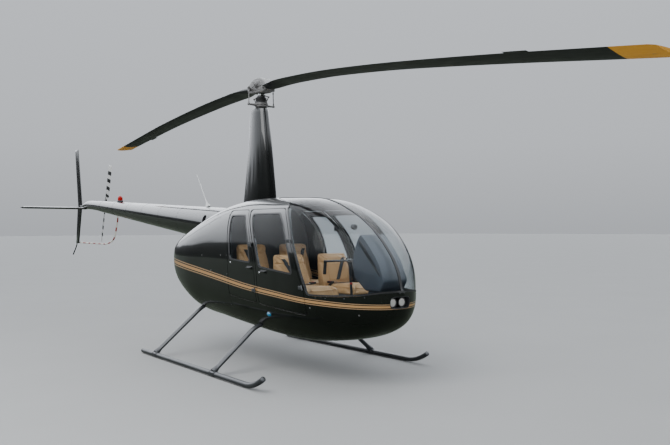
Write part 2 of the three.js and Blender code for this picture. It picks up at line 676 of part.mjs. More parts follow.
function pedalsAndLevers() {
  const z = FLOOR.top - 2;
  const pedals = PEDAL.sides.map((y) => joined([
    rod([PEDAL.foot, y, z], [PEDAL.top[0], y, PEDAL.top[1]], 9, 6),
    box([PEDAL.top[0] - 8, PEDAL.top[0] + 10], [y - PEDAL.half, y + PEDAL.half], PEDAL.plate),
  ]));
  const [pivot, height] = LEVER.foot;
  const [end, rise] = LEVER.tip;
  const levers = LEVER.sides.map((y) => rod([pivot, y, height], [end, y, rise], LEVER.radius, 8));
  const boots = LEVER.sides.map((y) => rod([pivot, y, z], [pivot, y, LEVER.bootTop], LEVER.bootRadius, 8));
  return joined([...pedals, ...levers, ...boots]);
}

function cyclicStick() {
  const [x, z] = STICK.top;
  const [gripX, gripZ] = STICK.gripEnd;
  const half = STICK.barHalf;
  const stick = rod([STICK.foot, 0, FLOOR.top + 2], [x, 0, z], STICK.radius, 8);
  const bar = rod([x, -half, z - 1], [x, half, z - 1], STICK.barRadius, 8);
  const grips = [-half, half].map((y) => rod([x, y, z + 9], [gripX, y, gripZ], GRIP_RADIUS, 8));
  return joined([stick, bar, ...grips]);
}

// Engine, exhaust, lamps.
function engine() {
  return joined(Object.values(ENGINE).map(({ x, half, z }) => box(x, [-half, half], z)));
}

function exhaust(grow = 0) {
  return rod(EXHAUST.top, EXHAUST.outlet, EXHAUST.radius + grow, 14);
}

function lamps() {
  const { back, wall } = LAMP_RECESS;
  const right = rod([back + 1, -LAMP.y, LAMP.z], [LAMP.face, -LAMP.y, LAMP.z], LAMP.radius, 16);
  const tray = lampRecess(TOUCH, back).subtract(lampRecess(wall, back + wall));
  return joined([tray, right, mirrored(right)]).intersect(bodySolid(2));
}

// Mast fairing: a rounded leading edge and a thinner trailing edge.
function mastFairing() {
  const rings = MAST_SECTIONS.map(({ z, fore, aft, half }) => Array.from({ length: 22 }, (_, i) => {
    const angle = ((i + 0.5) / 22) * Math.PI * 2;
    const widest = fore - (fore - aft) * 0.42;
    const along = Math.cos(angle) >= 0 ? fore - widest : widest - aft;
    const power = Math.cos(angle) >= 0 ? 1 : 1.25;
    const width = half * Math.sign(Math.sin(angle)) * Math.abs(Math.sin(angle)) ** power;
    return new THREE.Vector3(widest + along * Math.cos(angle), width, z);
  }));
  return loft(rings).subtract(OUTER_CLEAR).subtract(TAIL_CONE_CLEAR).add(mastCollar());
}

function mastCollar() {
  const top = MAST_SECTIONS.at(-1).z;
  const bore = SHAFT_RADIUS + 10;
  return lathe([[bore, top - 1], [74, top - 1], [70, top + 8], [bore, top + 8], [bore, top - 1]], 16);
}

// Tail.
function tailCone() {
  return tailConeSolid(0).subtract(tailConeSolid(-TAIL_WALL, 20));
}

function fin(points) {
  const rings = [[points[0], points[1]], [points[3], points[2]]].map(([fore, aft]) => {
    const chord = fore[0] - aft[0];
    const station = (share, half) => new THREE.Vector3(fore[0] - chord * share, half, fore[1]);
    const left = [[0.06, 0.75], [0.3, 1], [0.7, 0.6], [1, 0.13]];
    const right = left.toReversed().map(([share, width]) => [share, -width]);
    return [[0, 0], ...left, ...right].map(([share, width]) => station(share, width * FIN_HALF));
  });
  return loft(rings);
}

function lowerFin() {
  const bumper = tube(TAIL_SKID, TAIL_SKID_RADIUS, 6);
  return fin(LOWER_FIN).add(bumper).subtract(stabiliserSolid(TOUCH));
}

function stabiliserSolid(grow = 0) {
  const { fore, aft, root, tip, z, thick } = STABILISER;
  const rings = [[root - grow, 1], [tip - grow, 1]].map(([y, scale]) => {
    const chord = (fore - aft) * scale;
    const at = (share, half) => new THREE.Vector3(fore - chord * share + grow * (1 - 2 * share), y, z + half);
    const half = thick / 2 + grow;
    const upper = [[0.06, half * 0.75], [0.3, half], [0.7, half * 0.6], [1, 2 + grow]];
    const lower = upper.toReversed().map(([share, rise]) => [share, -rise]);
    return [[0, 0], ...upper, ...lower].map(([share, rise]) => at(share, rise));
  });
  return loft(rings);
}

function stabiliser() {
  return stabiliserSolid().subtract(tailConeSolid(TOUCH));
}

function tailGearbox() {
  const { x, z } = TAIL_ROTOR;
  const { radius, from, to, neckRadius, neckEnd, drain } = GEARBOX;
  const bulb = rod([x, from, z], [x, to, z], radius, 16);
  const neck = rod([x, to, z], [x, neckEnd, z], neckRadius, 16);
  const bottom = rod([x, drain.y, z - drain.depth], [x, drain.y, z], drain.radius, 14);
  return joined([bulb, neck, bottom]).subtract(tailConeSolid(TOUCH));
}

function guard() {
  return tube(GUARD, GUARD_RADIUS, 22).subtract(tailConeSolid(TOUCH)).subtract(lowerFinClear());
}

function lowerFinClear() {
  return fin(grown(LOWER_FIN, TOUCH)).scale([1, 1.04, 1]);
}

function beacon() {
  const { x, foot, radius, height } = BEACON;
  const dome = lathe([[0, -14], [radius + 6, -14], [radius + 6, 24], [radius, 26], [radius * 0.94, height * 0.7],
    [radius * 0.6, height * 0.94], [0, height]], 16);
  return dome.translate([x, 0, foot]).subtract(tailConeSolid(TOUCH));
}

function antenna() {
  const foot = sidePrism(ANTENNA.foot, [-ANTENNA.footHalf, ANTENNA.footHalf]);
  const whip = rod(...ANTENNA.whip, ANTENNA.whipRadius, 8);
  return foot.add(whip).subtract(tailConeSolid(TOUCH));
}

// Main rotor.
function bladeSection(chord, thick) {
  const upper = [[0.235, 0.22], [0.17, 0.42], [0.02, 0.5], [-0.25, 0.36], [-0.55, 0.16], [-0.75, 0.03]];
  const lower = upper.toReversed().map(([along, up]) => [along, -up]);
  return [[0.25, 0], ...upper, ...lower].map(([along, up]) => [along * chord, up * thick]);
}

function mainBlade(table) {
  const rings = table.map(({ reach, height, angle, chord, thick }, row) => {
    const section = bladeSection(chord ?? MAIN_ROTOR.chord, thick ?? MAIN_ROTOR.thick);
    const rake = row === table.length - 1 ? TIP_RAKE : 0;
    const turn = THREE.MathUtils.degToRad(angle);
    return section.map(([across, up]) => new THREE.Vector3(
      reach + across * rake,
      across * Math.cos(turn) - up * Math.sin(turn),
      height + across * Math.sin(turn) + up * Math.cos(turn),
    ));
  });
  return loft(rings);
}

function turned(made, degrees) {
  return made.rotate([0, 0, degrees]);
}

// The mast above the fairing, with the ring that steers the blades, its arms, links and rubber boot.
function rotorShaft() {
  const { ring, ringHalf, ringRadius, arm, boot, linkRadius, linkTop } = STEERING;
  const shaft = rod([0, 0, 2908], [0, 0, MAIN_ROTOR.hub - 70], SHAFT_RADIUS, 14);
  const plate = rod([0, 0, ring - ringHalf], [0, 0, ring + ringHalf], ringRadius, 18);
  const arms = box([-16, 16], [-arm - 14, arm + 14], [ring - 12, ring + 12]);
  const folds = lathe(boot, 16);
  const links = [-arm, arm].map((y) => rod([0, y, ring], [Math.sign(y) * 6, y, linkTop], linkRadius, 8));
  return turned(joined([shaft, plate, arms, folds, ...links]), MAIN_ROTOR.azimuth);
}

// The seesaw hub: a domed casting over its pivot, with a pitch arm for each blade.
function rotorHub() {
  const { hub, azimuth, teeter } = MAIN_ROTOR;
  const foreHalf = [[150, -62], [215, -30], [216, 30], [140, 88], [55, 118]];
  const aftHalf = foreHalf.toReversed().map(([x, z]) => [-x, z]);
  const dome = sidePrism([...foreHalf, ...aftHalf], [-66, 66]);
  const pivots = rod([0, -92, 30], [0, 92, 30], 34, 16);
  const horns = [-1, 1].map((way) => rod([way * 190, way * 40, -10], [0, way * STEERING.arm, -8], 15, 8));
  const clear = rod([0, 0, 2900], [0, 0, hub - 70 + TOUCH], SHAFT_RADIUS + TOUCH, 14);
  const seesaw = joined([dome, pivots, ...horns]).rotate([0, teeter, 0]).translate([0, 0, hub]);
  return turned(seesaw.subtract(clear), azimuth);
}

// Tail rotor.
function tailHub() {
  const { x, y, z } = TAIL_ROTOR;
  const shaft = rod([x, GEARBOX.neckEnd + SPIN_GAP, z], [x, y + 45, z], 18, 14);
  const block = rod([x, y - 26, z], [x, y + 26, z], 46, 14);
  const yoke = box([-92, 92], [-15, 15], [-20, 20]).rotate([0, 90 + TAIL_ROTOR.lean, 0]).translate([x, y, z]);
  return joined([shaft, block, yoke]);
}

function tailBlade(way) {
  const { x, y, z, radius, chord, thick, rootStart, lean, pitch } = TAIL_ROTOR;
  const stations = [[rootStart, 0.5, 1.6], [rootStart + 60, 1, 1], [radius - 12, 1, 1], [radius, 0.85, 0.7]];
  const rings = stations.map(([span, width, height]) => bladeSection(chord * width, thick * height)
    .map(([across, up]) => new THREE.Vector3(-across, up, span)));
  return loft(rings).rotate([0, 0, pitch]).rotate([0, lean + (way > 0 ? 0 : 180), 0]).translate([x, y, z]);
}

// The parts list.
const helicopter = new THREE.Group();
const hang = new THREE.Group();
helicopter.add(hang);

function place(name, made, material) {
  const mesh = new THREE.Mesh(geometryOf(made), material);
  mesh.name = name;
  hang.add(mesh);
}

function placePair(name, right, material) {
  place(`${name}_right`, right, material);
  place(`${name}_left`, mirrored(right), material);
}

place('hull', hull(), BLACK_PAINT);
placePair('door_posts', posts(), BLACK_PAINT);
place('roof_panel', roofPanel(), BLACK_PAINT);
place('top_cowl', topCowl(), BLACK_PAINT);
placePair('engine_cowl', engineCowl(), BLACK_PAINT);
place('tail_cowl', tailCowl(), BLACK_PAINT);
place('cooling_fan', fan(), DARK_TRIM);
placePair('windshield', windshieldHalf(), GLAZING);
place('windshield_strip', windshieldStrip(), DARK_TRIM);
placePair('front_door', doorPanel(FRONT_DOOR, FRONT_WINDOW, FRONT_HINGE), BLACK_PAINT);
placePair('front_door_window', doorPane(FRONT_WINDOW), GLAZING);
placePair('rear_door', doorPanel(REAR_DOOR, REAR_WINDOW, REAR_HINGE), BLACK_PAINT);
placePair('rear_door_window', doorPane(REAR_WINDOW), GLAZING);
place('cabin_floor', cabinFloor(), DARK_TRIM);
placePair('front_seat', mirrored(seat(FRONT_SEAT)), TAN_LEATHER);
placePair('rear_seat', mirrored(seat(REAR_SEAT)), TAN_LEATHER);
place('instrument_pod', instrumentPod(), DARK_TRIM);
place('cyclic_stick', cyclicStick(), DARK_TRIM);
place('landing_lamps', lamps(), GREY_METAL);
place('engine', engine(), GREY_METAL);
place('exhaust', exhaust(), EXHAUST_STEEL);
place('mast_fairing', mastFairing(), BLACK_PAINT);
place('tail_cone', tailCone(), BLACK_PAINT);
place('upper_fin', fin(UPPER_FIN), BLACK_PAINT);
place('lower_fin', lowerFin(), BLACK_PAINT);
place('stabiliser', stabiliser(), BLACK_PAINT);
place('tail_gearbox', tailGearbox(), GREY_METAL);
place('tail_rotor_guard', guard(), RED_LENS);
place('beacon', beacon(), RED_LENS);
place('antenna', antenna(), WHITE_PAINT);
placePair('skid', skid(-1), GEAR_PAINT);
place('front_cross_tube', crossTube(STRUT_STATIONS.front), GEAR_PAINT);
place('rear_cross_tube', crossTube(STRUT_STATIONS.rear), GEAR_PAINT);
place('rotor_shaft', rotorShaft(), GREY_METAL);
place('rotor_hub', rotorHub(), GREY_METAL);
place('blade_front', turned(mainBlade(BLADE_FRONT), MAIN_ROTOR.azimuth), BLADE_PAINT);
place('blade_aft', turned(mainBlade(BLADE_AFT), MAIN_ROTOR.azimuth + 180), BLADE_PAINT);
place('tail_rotor_hub', tailHub(), GREY_METAL);
place('tail_blade_upper', tailBlade(1), BLADE_PAINT);
place('tail_blade_lower', tailBlade(-1), BLADE_PAINT);

// The row's origin is on the ground under the middle of the whole machine's box.
const extent = new THREE.Box3().setFromObject(hang);
const centre = extent.getCenter(new THREE.Vector3());
hang.position.set(-centre.x, -centre.y, -extent.min.z);

export default helicopter;
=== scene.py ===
# %% [markdown]
# # A four-seat piston helicopter
# The real machine is a small round cabin with an engine bay behind it, a slim tail cone, a tall mast fairing
# with a two-blade rotor, and a pair of skids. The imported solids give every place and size. Here each visible
# piece is modelled again with its real surface, and rides on the body that carries it.
# Lengths are metres. Pieces are shaped in the mast frame: x forward from the mast axis, y to the machine's
# left, z up from the ground. `settle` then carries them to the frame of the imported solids.

# %% Load the frame
import json
import math

import bpy
import numpy as np
from mathutils import Matrix, Vector
from mathutils.bvhtree import BVHTree


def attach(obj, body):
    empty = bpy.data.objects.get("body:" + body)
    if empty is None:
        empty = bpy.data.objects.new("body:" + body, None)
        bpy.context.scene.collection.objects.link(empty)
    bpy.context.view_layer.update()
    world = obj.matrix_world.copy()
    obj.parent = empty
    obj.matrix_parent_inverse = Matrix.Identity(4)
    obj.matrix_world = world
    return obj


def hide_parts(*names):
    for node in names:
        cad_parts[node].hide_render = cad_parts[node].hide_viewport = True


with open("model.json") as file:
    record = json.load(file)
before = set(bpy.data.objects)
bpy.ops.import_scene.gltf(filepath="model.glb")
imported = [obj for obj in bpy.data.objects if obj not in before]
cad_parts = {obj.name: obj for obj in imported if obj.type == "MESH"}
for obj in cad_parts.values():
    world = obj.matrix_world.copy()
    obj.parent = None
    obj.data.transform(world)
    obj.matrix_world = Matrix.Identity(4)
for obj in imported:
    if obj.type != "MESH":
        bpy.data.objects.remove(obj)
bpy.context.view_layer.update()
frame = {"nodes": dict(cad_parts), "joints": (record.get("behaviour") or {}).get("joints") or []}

JOINTS = {joint["name"]: joint for joint in frame["joints"]}
MAST = Vector((*JOINTS["main_rotor_spin"]["pos_m"][:2], 0))
X, Y, Z = 0, 1, 2
AHEAD, LEFTWARD, UPWARD = Vector((1, 0, 0)), Vector((0, 1, 0)), Vector((0, 0, 1))
print("mast axis in the packed frame:", tuple(MAST))

# %% [markdown]
# ## The camera
# The photograph looks at the machine's right front from eye height, with a normal lens held almost level. The
# camera is set up first, because it decides which surfaces need the most care.

# %% Camera
CAMERA_PLACE = Vector((7.0168, -4.3995, 1.4686))
CAMERA_YAW, CAMERA_PITCH, CAMERA_ROLL = (math.radians(a) for a in (141.87993, 0.620575, -0.139669))
SENSOR, FOCAL_PIXELS, PHOTO_WIDTH = 36.0, 696.35, 670


def camera_axes(yaw, pitch, roll):
    forward = Vector((math.cos(pitch) * math.cos(yaw), math.cos(pitch) * math.sin(yaw), math.sin(pitch)))
    level = Vector((math.sin(yaw), -math.cos(yaw), 0))
    over = level.cross(forward)
    right = level * math.cos(roll) + over * math.sin(roll)
    up = over * math.cos(roll) - level * math.sin(roll)
    return Matrix((right, up, -forward)).transposed()


def clear_selection():
    if bpy.context.object and bpy.context.object.mode != "OBJECT":
        bpy.ops.object.mode_set(mode="OBJECT")
    bpy.ops.object.select_all(action="DESELECT")


clear_selection()
turn = camera_axes(CAMERA_YAW, CAMERA_PITCH, CAMERA_ROLL).to_euler()
bpy.ops.object.camera_add(location=CAMERA_PLACE + MAST, rotation=turn)
camera = bpy.context.object
camera.name = "camera"
camera.data.sensor_width = SENSOR
camera.data.lens = SENSOR * FOCAL_PIXELS / PHOTO_WIDTH
camera.data.clip_end = 500
bpy.context.scene.camera = camera
print("camera lens:", round(camera.data.lens, 2), "mm")

# %% [markdown]
# ## Floor and light
# A black gloss body is drawn almost wholly by what it mirrors. A pale floor, a sky that brightens upwards
# and one broad soft lamp give the long soft highlights that black paint shows outdoors on a dull day.

# %% Floor and light
FLOOR_SIZE = 400
FLOOR_PALE, FLOOR_MIRRORED = (0.50, 0.505, 0.50), (0.050, 0.062, 0.040)
# height of the direction looked in (0 straight down, 0.5 level, 1 straight up) and its brightness
SKY_MIRRORED = [(0.0, 0.05), (0.60, 0.05), (0.650, 0.09), (0.668, 2.0), (0.76, 3.3), (1.0, 4.2)]
SKY_SEEN = [(0.0, 0.50), (0.5, 0.52), (0.56, 0.66), (0.75, 0.80), (1.0, 0.90)]
SKY_TINT = (0.93, 0.97, 1.03)
SOFT_LAMP = {"place": Vector((3.0, -7.0, 8.0)), "aim": UPWARD, "size": 6, "watts": 500}
BAND_RAGGED, BAND_SCALE, BAND_LIFT = 0.06, 14, 0.07


def material(name):
    made = bpy.data.materials.new(name)
    made.use_nodes = True
    return made, made.node_tree.nodes, made.node_tree.links, made.node_tree.nodes["Principled BSDF"]


def pale_floor():
    """Pale where it is looked at, and dark where the paint mirrors it."""
    made, nodes, links, shader = material("pale_floor")
    shader.inputs["Roughness"].default_value = 0.8
    shader.inputs["Specular IOR Level"].default_value = 0.2
    noise = nodes.new("ShaderNodeTexNoise")
    noise.inputs["Scale"].default_value = 0.8
    place = nodes.new("ShaderNodeTexCoord")
    ray = nodes.new("ShaderNodeLightPath")
    tint = nodes.new("ShaderNodeMix")
    tint.data_type = "RGBA"
    tint.inputs["A"].default_value = (*FLOOR_PALE, 1)
    tint.inputs["B"].default_value = (*(level * 1.08 for level in FLOOR_PALE), 1)
    mirrored_tint = nodes.new("ShaderNodeMix")
    mirrored_tint.data_type = "RGBA"
    mirrored_tint.inputs["B"].default_value = (*FLOOR_MIRRORED, 1)
    links.new(place.outputs["Object"], noise.inputs["Vector"])
    links.new(noise.outputs["Fac"], tint.inputs["Factor"])
    links.new(ray.outputs["Is Glossy Ray"], mirrored_tint.inputs["Factor"])
    links.new(tint.outputs["Result"], mirrored_tint.inputs["A"])
    links.new(mirrored_tint.outputs["Result"], shader.inputs["Base Color"])
    return made


def sky_ramp(nodes, links, height, levels):
    ramp = nodes.new("ShaderNodeValToRGB")
    stops = ramp.color_ramp.elements
    while len(stops) < len(levels):
        stops.new(0.5)
    for stop, (position, level) in zip(stops, levels):
        stop.position = position
        stop.color = (*(level * tint for tint in SKY_TINT), 1)
    links.new(height, ramp.inputs["Fac"])
    return ramp.outputs["Color"]


def sky():
    """A plain pale sky. In the paint's reflections a ragged dark band stands below it, taller ahead."""
    world = bpy.data.worlds.new("soft_sky")
    world.use_nodes = True
    nodes, links = world.node_tree.nodes, world.node_tree.links
    direction = nodes.new("ShaderNodeTexCoord")
    split = nodes.new("ShaderNodeSeparateXYZ")
    height = nodes.new("ShaderNodeMapRange")
    height.inputs["From Min"].default_value = -1
    ray = nodes.new("ShaderNodeLightPath")
    choose = nodes.new("ShaderNodeMix")
    choose.data_type = "RGBA"
    links.new(direction.outputs["Generated"], split.inputs["Vector"])
    links.new(split.outputs["Z"], height.inputs["Value"])
    links.new(ray.outputs["Is Glossy Ray"], choose.inputs["Factor"])
    links.new(sky_ramp(nodes, links, height.outputs["Result"], SKY_SEEN), choose.inputs["A"])
    noise = nodes.new("ShaderNodeTexNoise")
    noise.inputs["Scale"].default_value = BAND_SCALE
    ragged = nodes.new("ShaderNodeMath")
    ragged.operation = "MULTIPLY_ADD"
    ragged.inputs[1].default_value = BAND_RAGGED
    links.new(direction.outputs["Generated"], noise.inputs["Vector"])
    links.new(noise.outputs["Fac"], ragged.inputs[0])
    lifted = nodes.new("ShaderNodeMath")
    lifted.operation = "MULTIPLY_ADD"
    lifted.inputs[1].default_value = -BAND_LIFT
    links.new(split.outputs["X"], lifted.inputs[0])
    links.new(height.outputs["Result"], lifted.inputs[2])
    links.new(lifted.outputs[0], ragged.inputs[2])
    links.new(sky_ramp(nodes, links, ragged.outputs[0], SKY_MIRRORED), choose.inputs["B"])
    links.new(choose.outputs["Result"], nodes["Background"].inputs["Color"])
    return world


clear_selection()
bpy.ops.mesh.primitive_plane_add(size=FLOOR_SIZE)
floor = bpy.context.object
floor.name = "floor"
floor.data.materials.append(pale_floor())
bpy.context.scene.world = sky()
bpy.ops.object.light_add(type="AREA", location=MAST + SOFT_LAMP["place"])
lamp = bpy.context.object
lamp.name = "soft_lamp"
lamp.data.size = SOFT_LAMP["size"]
lamp.data.energy = SOFT_LAMP["watts"]
lamp.rotation_euler = (MAST + SOFT_LAMP["aim"] - lamp.location).to_track_quat("-Z", "Y").to_euler()
print("floor", FLOOR_SIZE, "m, lamp", lamp.data.energy, "W")

# %% [markdown]
# ## The modeller's hand tools
# Each tool is one habit of modelling by hand: make a piece active, work on it in edit mode, select faces by
# where they lie, apply a modifier, copy, mirror. A `loft` is a globe whose rings are moved to the stations
# of a shape, so it is always closed. A `prism` is a flat outline that is extruded.

# %% Hand tools
def make_active(piece):
    clear_selection()
    piece.select_set(True)
    bpy.context.view_layer.objects.active = piece


def added(name):
    """Names the newest piece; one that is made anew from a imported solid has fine_ before the solid's name."""
    piece = bpy.context.object
    piece.name = f"fine_{name}" if name in frame["nodes"] else name
    piece.data.name = piece.name
    return piece


def edit(piece):
    make_active(piece)
    bpy.ops.object.mode_set(mode="EDIT")
    bpy.ops.mesh.select_mode(type="VERT")
    bpy.ops.mesh.select_all(action="SELECT")


def leave():
    bpy.ops.object.mode_set(mode="OBJECT")


def outward(piece):
    edit(piece)
    bpy.ops.mesh.normals_make_consistent(inside=False)
    leave()
    return piece


def apply_modifier(piece, kind, **settings):
    make_active(piece)
    modifier = piece.modifiers.new(kind.lower(), kind)
    for name, value in settings.items():
        setattr(modifier, name, value)
    bpy.ops.object.modifier_apply(modifier=modifier.name)
    return piece


def bevel(piece, width, segments=2, angle=35):
    return apply_modifier(piece, "BEVEL", width=width, segments=segments, limit_method="ANGLE",
                          angle_limit=math.radians(angle))


def smooth(piece, angle=35):
    make_active(piece)
    bpy.ops.object.shade_smooth_by_angle(angle=math.radians(angle))
    return piece


def copy_of(piece, name):
    make_active(piece)
    bpy.ops.object.duplicate()
    return added(name)


def mirrored(piece, name):
    twin = copy_of(piece, name)
    twin.scale = (1, -1, 1)
    bpy.ops.object.transform_apply(location=False, rotation=False, scale=True)
    return outward(twin)


def joined(name, pieces):
    make_active(pieces[0])
    for piece in pieces[1:]:
        piece.select_set(True)
    if len(pieces) > 1:
        bpy.ops.object.join()
    return added(name)


def removed(piece):
    bpy.data.objects.remove(piece, do_unlink=True)


def cut(piece, tool, operation="DIFFERENCE", keep=False):
    apply_modifier(piece, "BOOLEAN", object=tool, operation=operation, solver="EXACT")
    if not keep:
        removed(tool)
    return piece


def even_angles(sides):
    """Angles round a circle, the first one half a step past zero."""
    return [(k + 0.5) / sides * math.tau for k in range(sides)]


def eased(start, corner, end, t):
    """A place on the bend that leaves start towards corner and arrives at end."""
    return start * (1 - t) ** 2 + corner * 2 * t * (1 - t) + end * t ** 2


def faired(rows, between=8):
    """The rows of a table with smooth steps between them."""
    rows = np.array(rows)
    last = len(rows) - 1
    made = []
    for step in range(last * between + 1):
        row = min(step // between, last - 1)
        t = step / between - row
        p, a, b, n = (rows[min(max(i, 0), last)] for i in (row - 1, row, row + 1, row + 2))
        made.append(a + 0.5 * t * (b - p + t * (2 * p - 5 * a + 4 * b - n + t * (3 * (a - b) + n - p))))
    return made


def middle_of(points):
    return sum((Vector(p) for p in points), Vector()) / len(points)


def loft(name, rings):
    """A closed skin over rings of equally many points: a globe with its rings moved to their stations."""
    sides, rows = len(rings[0]), len(rings)
    clear_selection()
    bpy.ops.mesh.primitive_uv_sphere_add(segments=sides, ring_count=rows + 1, radius=1)
    piece = added(name)
    centres = {-1: middle_of(rings[0]), rows: middle_of(rings[-1])}
    for vertex in piece.data.vertices:
        x, y, z = vertex.co
        row = round(math.acos(max(-1, min(1, z))) / math.pi * (rows + 1)) - 1
        side = round(math.atan2(y, x) / math.tau * sides) % sides
        vertex.co = centres[row] if row in centres else rings[row][side]
    return outward(piece)


def prism(name, outline, axis, start, end):
    """An outline in the plane across an axis, extruded along that axis from start to end."""
    clear_selection()
    bpy.ops.mesh.primitive_circle_add(vertices=len(outline), fill_type="NGON")
    piece = added(name)
    across, up = [k for k in (X, Y, Z) if k != axis]
    for vertex, (a, b) in zip(piece.data.vertices, outline):
        vertex.co[across], vertex.co[up], vertex.co[axis] = a, b, start
    way = Vector((0, 0, 0))
    way[axis] = end - start
    edit(piece)
    bpy.ops.mesh.extrude_region_move(TRANSFORM_OT_translate={"value": way})
    leave()
    return outward(piece)


def block(name, x, y, z):
    """A block between two values along each axis, as a cutter or as the start of a piece."""
    return prism(name, [(x[0], z[0]), (x[1], z[0]), (x[1], z[1]), (x[0], z[1])], Y, y[0], y[1])


def turned(name, profile, foot, head, sides=32):
    """A disc extruded and scaled through the profile's (height, radius) steps, from foot towards head."""
    clear_selection()
    bpy.ops.mesh.primitive_circle_add(vertices=sides, radius=profile[0][1], fill_type="NGON")
    piece = added(name)
    edit(piece)
    for (low, inner), (high, outer) in zip(profile, profile[1:]):
        bpy.ops.mesh.extrude_region_move(TRANSFORM_OT_translate={"value": (0, 0, high - low)})
        bpy.ops.transform.resize(value=(outer / inner, outer / inner, 1))
    leave()
    foot, head = Vector(foot), Vector(head)
    piece.data.transform(Matrix.Translation((0, 0, profile[0][0])))
    piece.data.transform((head - foot).to_track_quat("Z", "Y").to_matrix().to_4x4())
    piece.data.transform(Matrix.Translation(foot))
    return outward(piece)


def rod(name, start, end, radius, sides=16, edge=0.0):
    """A round rod; with an edge, its two rims are chamfered by that much."""
    length = (Vector(end) - Vector(start)).length
    if not edge:
        return turned(name, [(0, radius), (length, radius)], start, end, sides)
    profile = [(0, radius - edge), (edge, radius), (length - edge, radius), (length, radius - edge)]
    return turned(name, profile, start, end, sides)


def pipe(name, points, radius, sides=16, step=6):
    """A bent tube: a curve through the points, given a round section and made a mesh."""
    clear_selection()
    bpy.ops.curve.primitive_bezier_curve_add()
    piece = bpy.context.object
    spline = piece.data.splines[0]
    spline.bezier_points.add(len(points) - len(spline.bezier_points))
    for knot, point in zip(spline.bezier_points, points):
        knot.co = point
        knot.handle_left_type = knot.handle_right_type = "AUTO"
    piece.data.resolution_u = step
    piece.data.bevel_depth = radius
    piece.data.bevel_resolution = max(1, sides // 4 - 1)
    piece.data.use_fill_caps = True
    bpy.ops.object.convert(target="MESH")
    return outward(added(name))


def settle(piece, body, slot, *finishes, replaces=()):
    """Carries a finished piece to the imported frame, dresses it and lets it ride on its body."""
    make_active(piece)
    piece.location = MAST
    bpy.ops.object.transform_apply(location=True, rotation=True, scale=True)
    chosen = [face.material_index for face in piece.data.polygons]
    piece.data.materials.clear()
    for finish in finishes:
        piece.data.materials.append(finish)
    piece.data.polygons.foreach_set("material_index", chosen)
    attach(piece, body)
    if replaces:
        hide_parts(*replaces)
    print(piece.name, len(piece.data.polygons), "faces")
    return piece


# %% [markdown]
# ## Finishes: the paint
# The body is black enamel under clear coat, with three gold coach lines that run from the lamps to the tail
# of the cowl. Masking tape and paint make such lines, so they have no thickness. The paint works them out
# from the height above one smooth line along the flank, and they pass over doors and seams without a break.

# %% Black paint and coach lines
LINE_CURVE = [(-1.45, 1.130), (-1.07, 1.088), (-0.461, 1.024), (0.071, 0.963), (0.772, 0.884), (1.375, 0.839),
              (1.812, 0.803), (2.099, 0.781), (2.316, 0.772), (2.5, 0.766)]
LINE_SPAN_X = (-1.5, 2.5)
LINE_SPAN_Z = (0.7, 1.2)
THICK_LINE_HALF = 0.013
THIN_LINE_MIDDLE, THIN_LINE_HALF = 0.0275, 0.0045
LINE_WIDTH_AT_MAST, LINE_WIDTH_SLOPE = 1.15, -0.167


def math_node(nodes, links, operation, first, second=None, third=None):
    node = nodes.new("ShaderNodeMath")
    node.operation = operation
    for socket, value in zip(node.inputs, (first, second, third)):
        if value is None:
            continue
        if isinstance(value, (int, float)):
            socket.default_value = value
        else:
            links.new(value, socket)
    return node.outputs[0]


def place_nodes(nodes, links):
    """The point in the mast frame, split into x, y and z, and as a vector."""
    place = nodes.new("ShaderNodeTexCoord")
    shift = nodes.new("ShaderNodeMapping")
    shift.inputs["Location"].default_value = -MAST
    split = nodes.new("ShaderNodeSeparateXYZ")
    links.new(place.outputs["Object"], shift.inputs["Vector"])
    links.new(shift.outputs["Vector"], split.inputs["Vector"])
    return split.outputs, shift.outputs["Vector"]


def noise_node(nodes, links, vector, scale, detail=4, stretch=None):
    noise = nodes.new("ShaderNodeTexNoise")
    noise.inputs["Scale"].default_value = scale
    noise.inputs["Detail"].default_value = detail
    if stretch:
        pull = nodes.new("ShaderNodeMapping")
        pull.inputs["Scale"].default_value = stretch
        links.new(vector, pull.inputs["Vector"])
        vector = pull.outputs["Vector"]
    links.new(vector, noise.inputs["Vector"])
    return noise.outputs["Fac"]


def spread(nodes, links, value, low, high):
    """Stretches a 0 to 1 value to the range low to high."""
    node = nodes.new("ShaderNodeMapRange")
    links.new(value, node.inputs["Value"])
    node.inputs["From Min"].default_value = 0.3
    node.inputs["From Max"].default_value = 0.7
    node.inputs["To Min"].default_value = low
    node.inputs["To Max"].default_value = high
    return node.outputs["Result"]


def bump_node(nodes, links, height, strength, distance, shader):
    bump = nodes.new("ShaderNodeBump")
    bump.inputs["Strength"].default_value = strength
    bump.inputs["Distance"].default_value = distance
    links.new(height, bump.inputs["Height"])
    links.new(bump.outputs["Normal"], shader.inputs["Normal"])
    return bump


def mix_colors(nodes, links, amount, first, second):
    mix = nodes.new("ShaderNodeMix")
    mix.data_type = "RGBA"
    links.new(amount, mix.inputs["Factor"])
    for socket, value in ((mix.inputs["A"], first), (mix.inputs["B"], second)):
        if isinstance(value, tuple):
            socket.default_value = (*value, 1)
        else:
            links.new(value, socket)
    return mix.outputs["Result"]


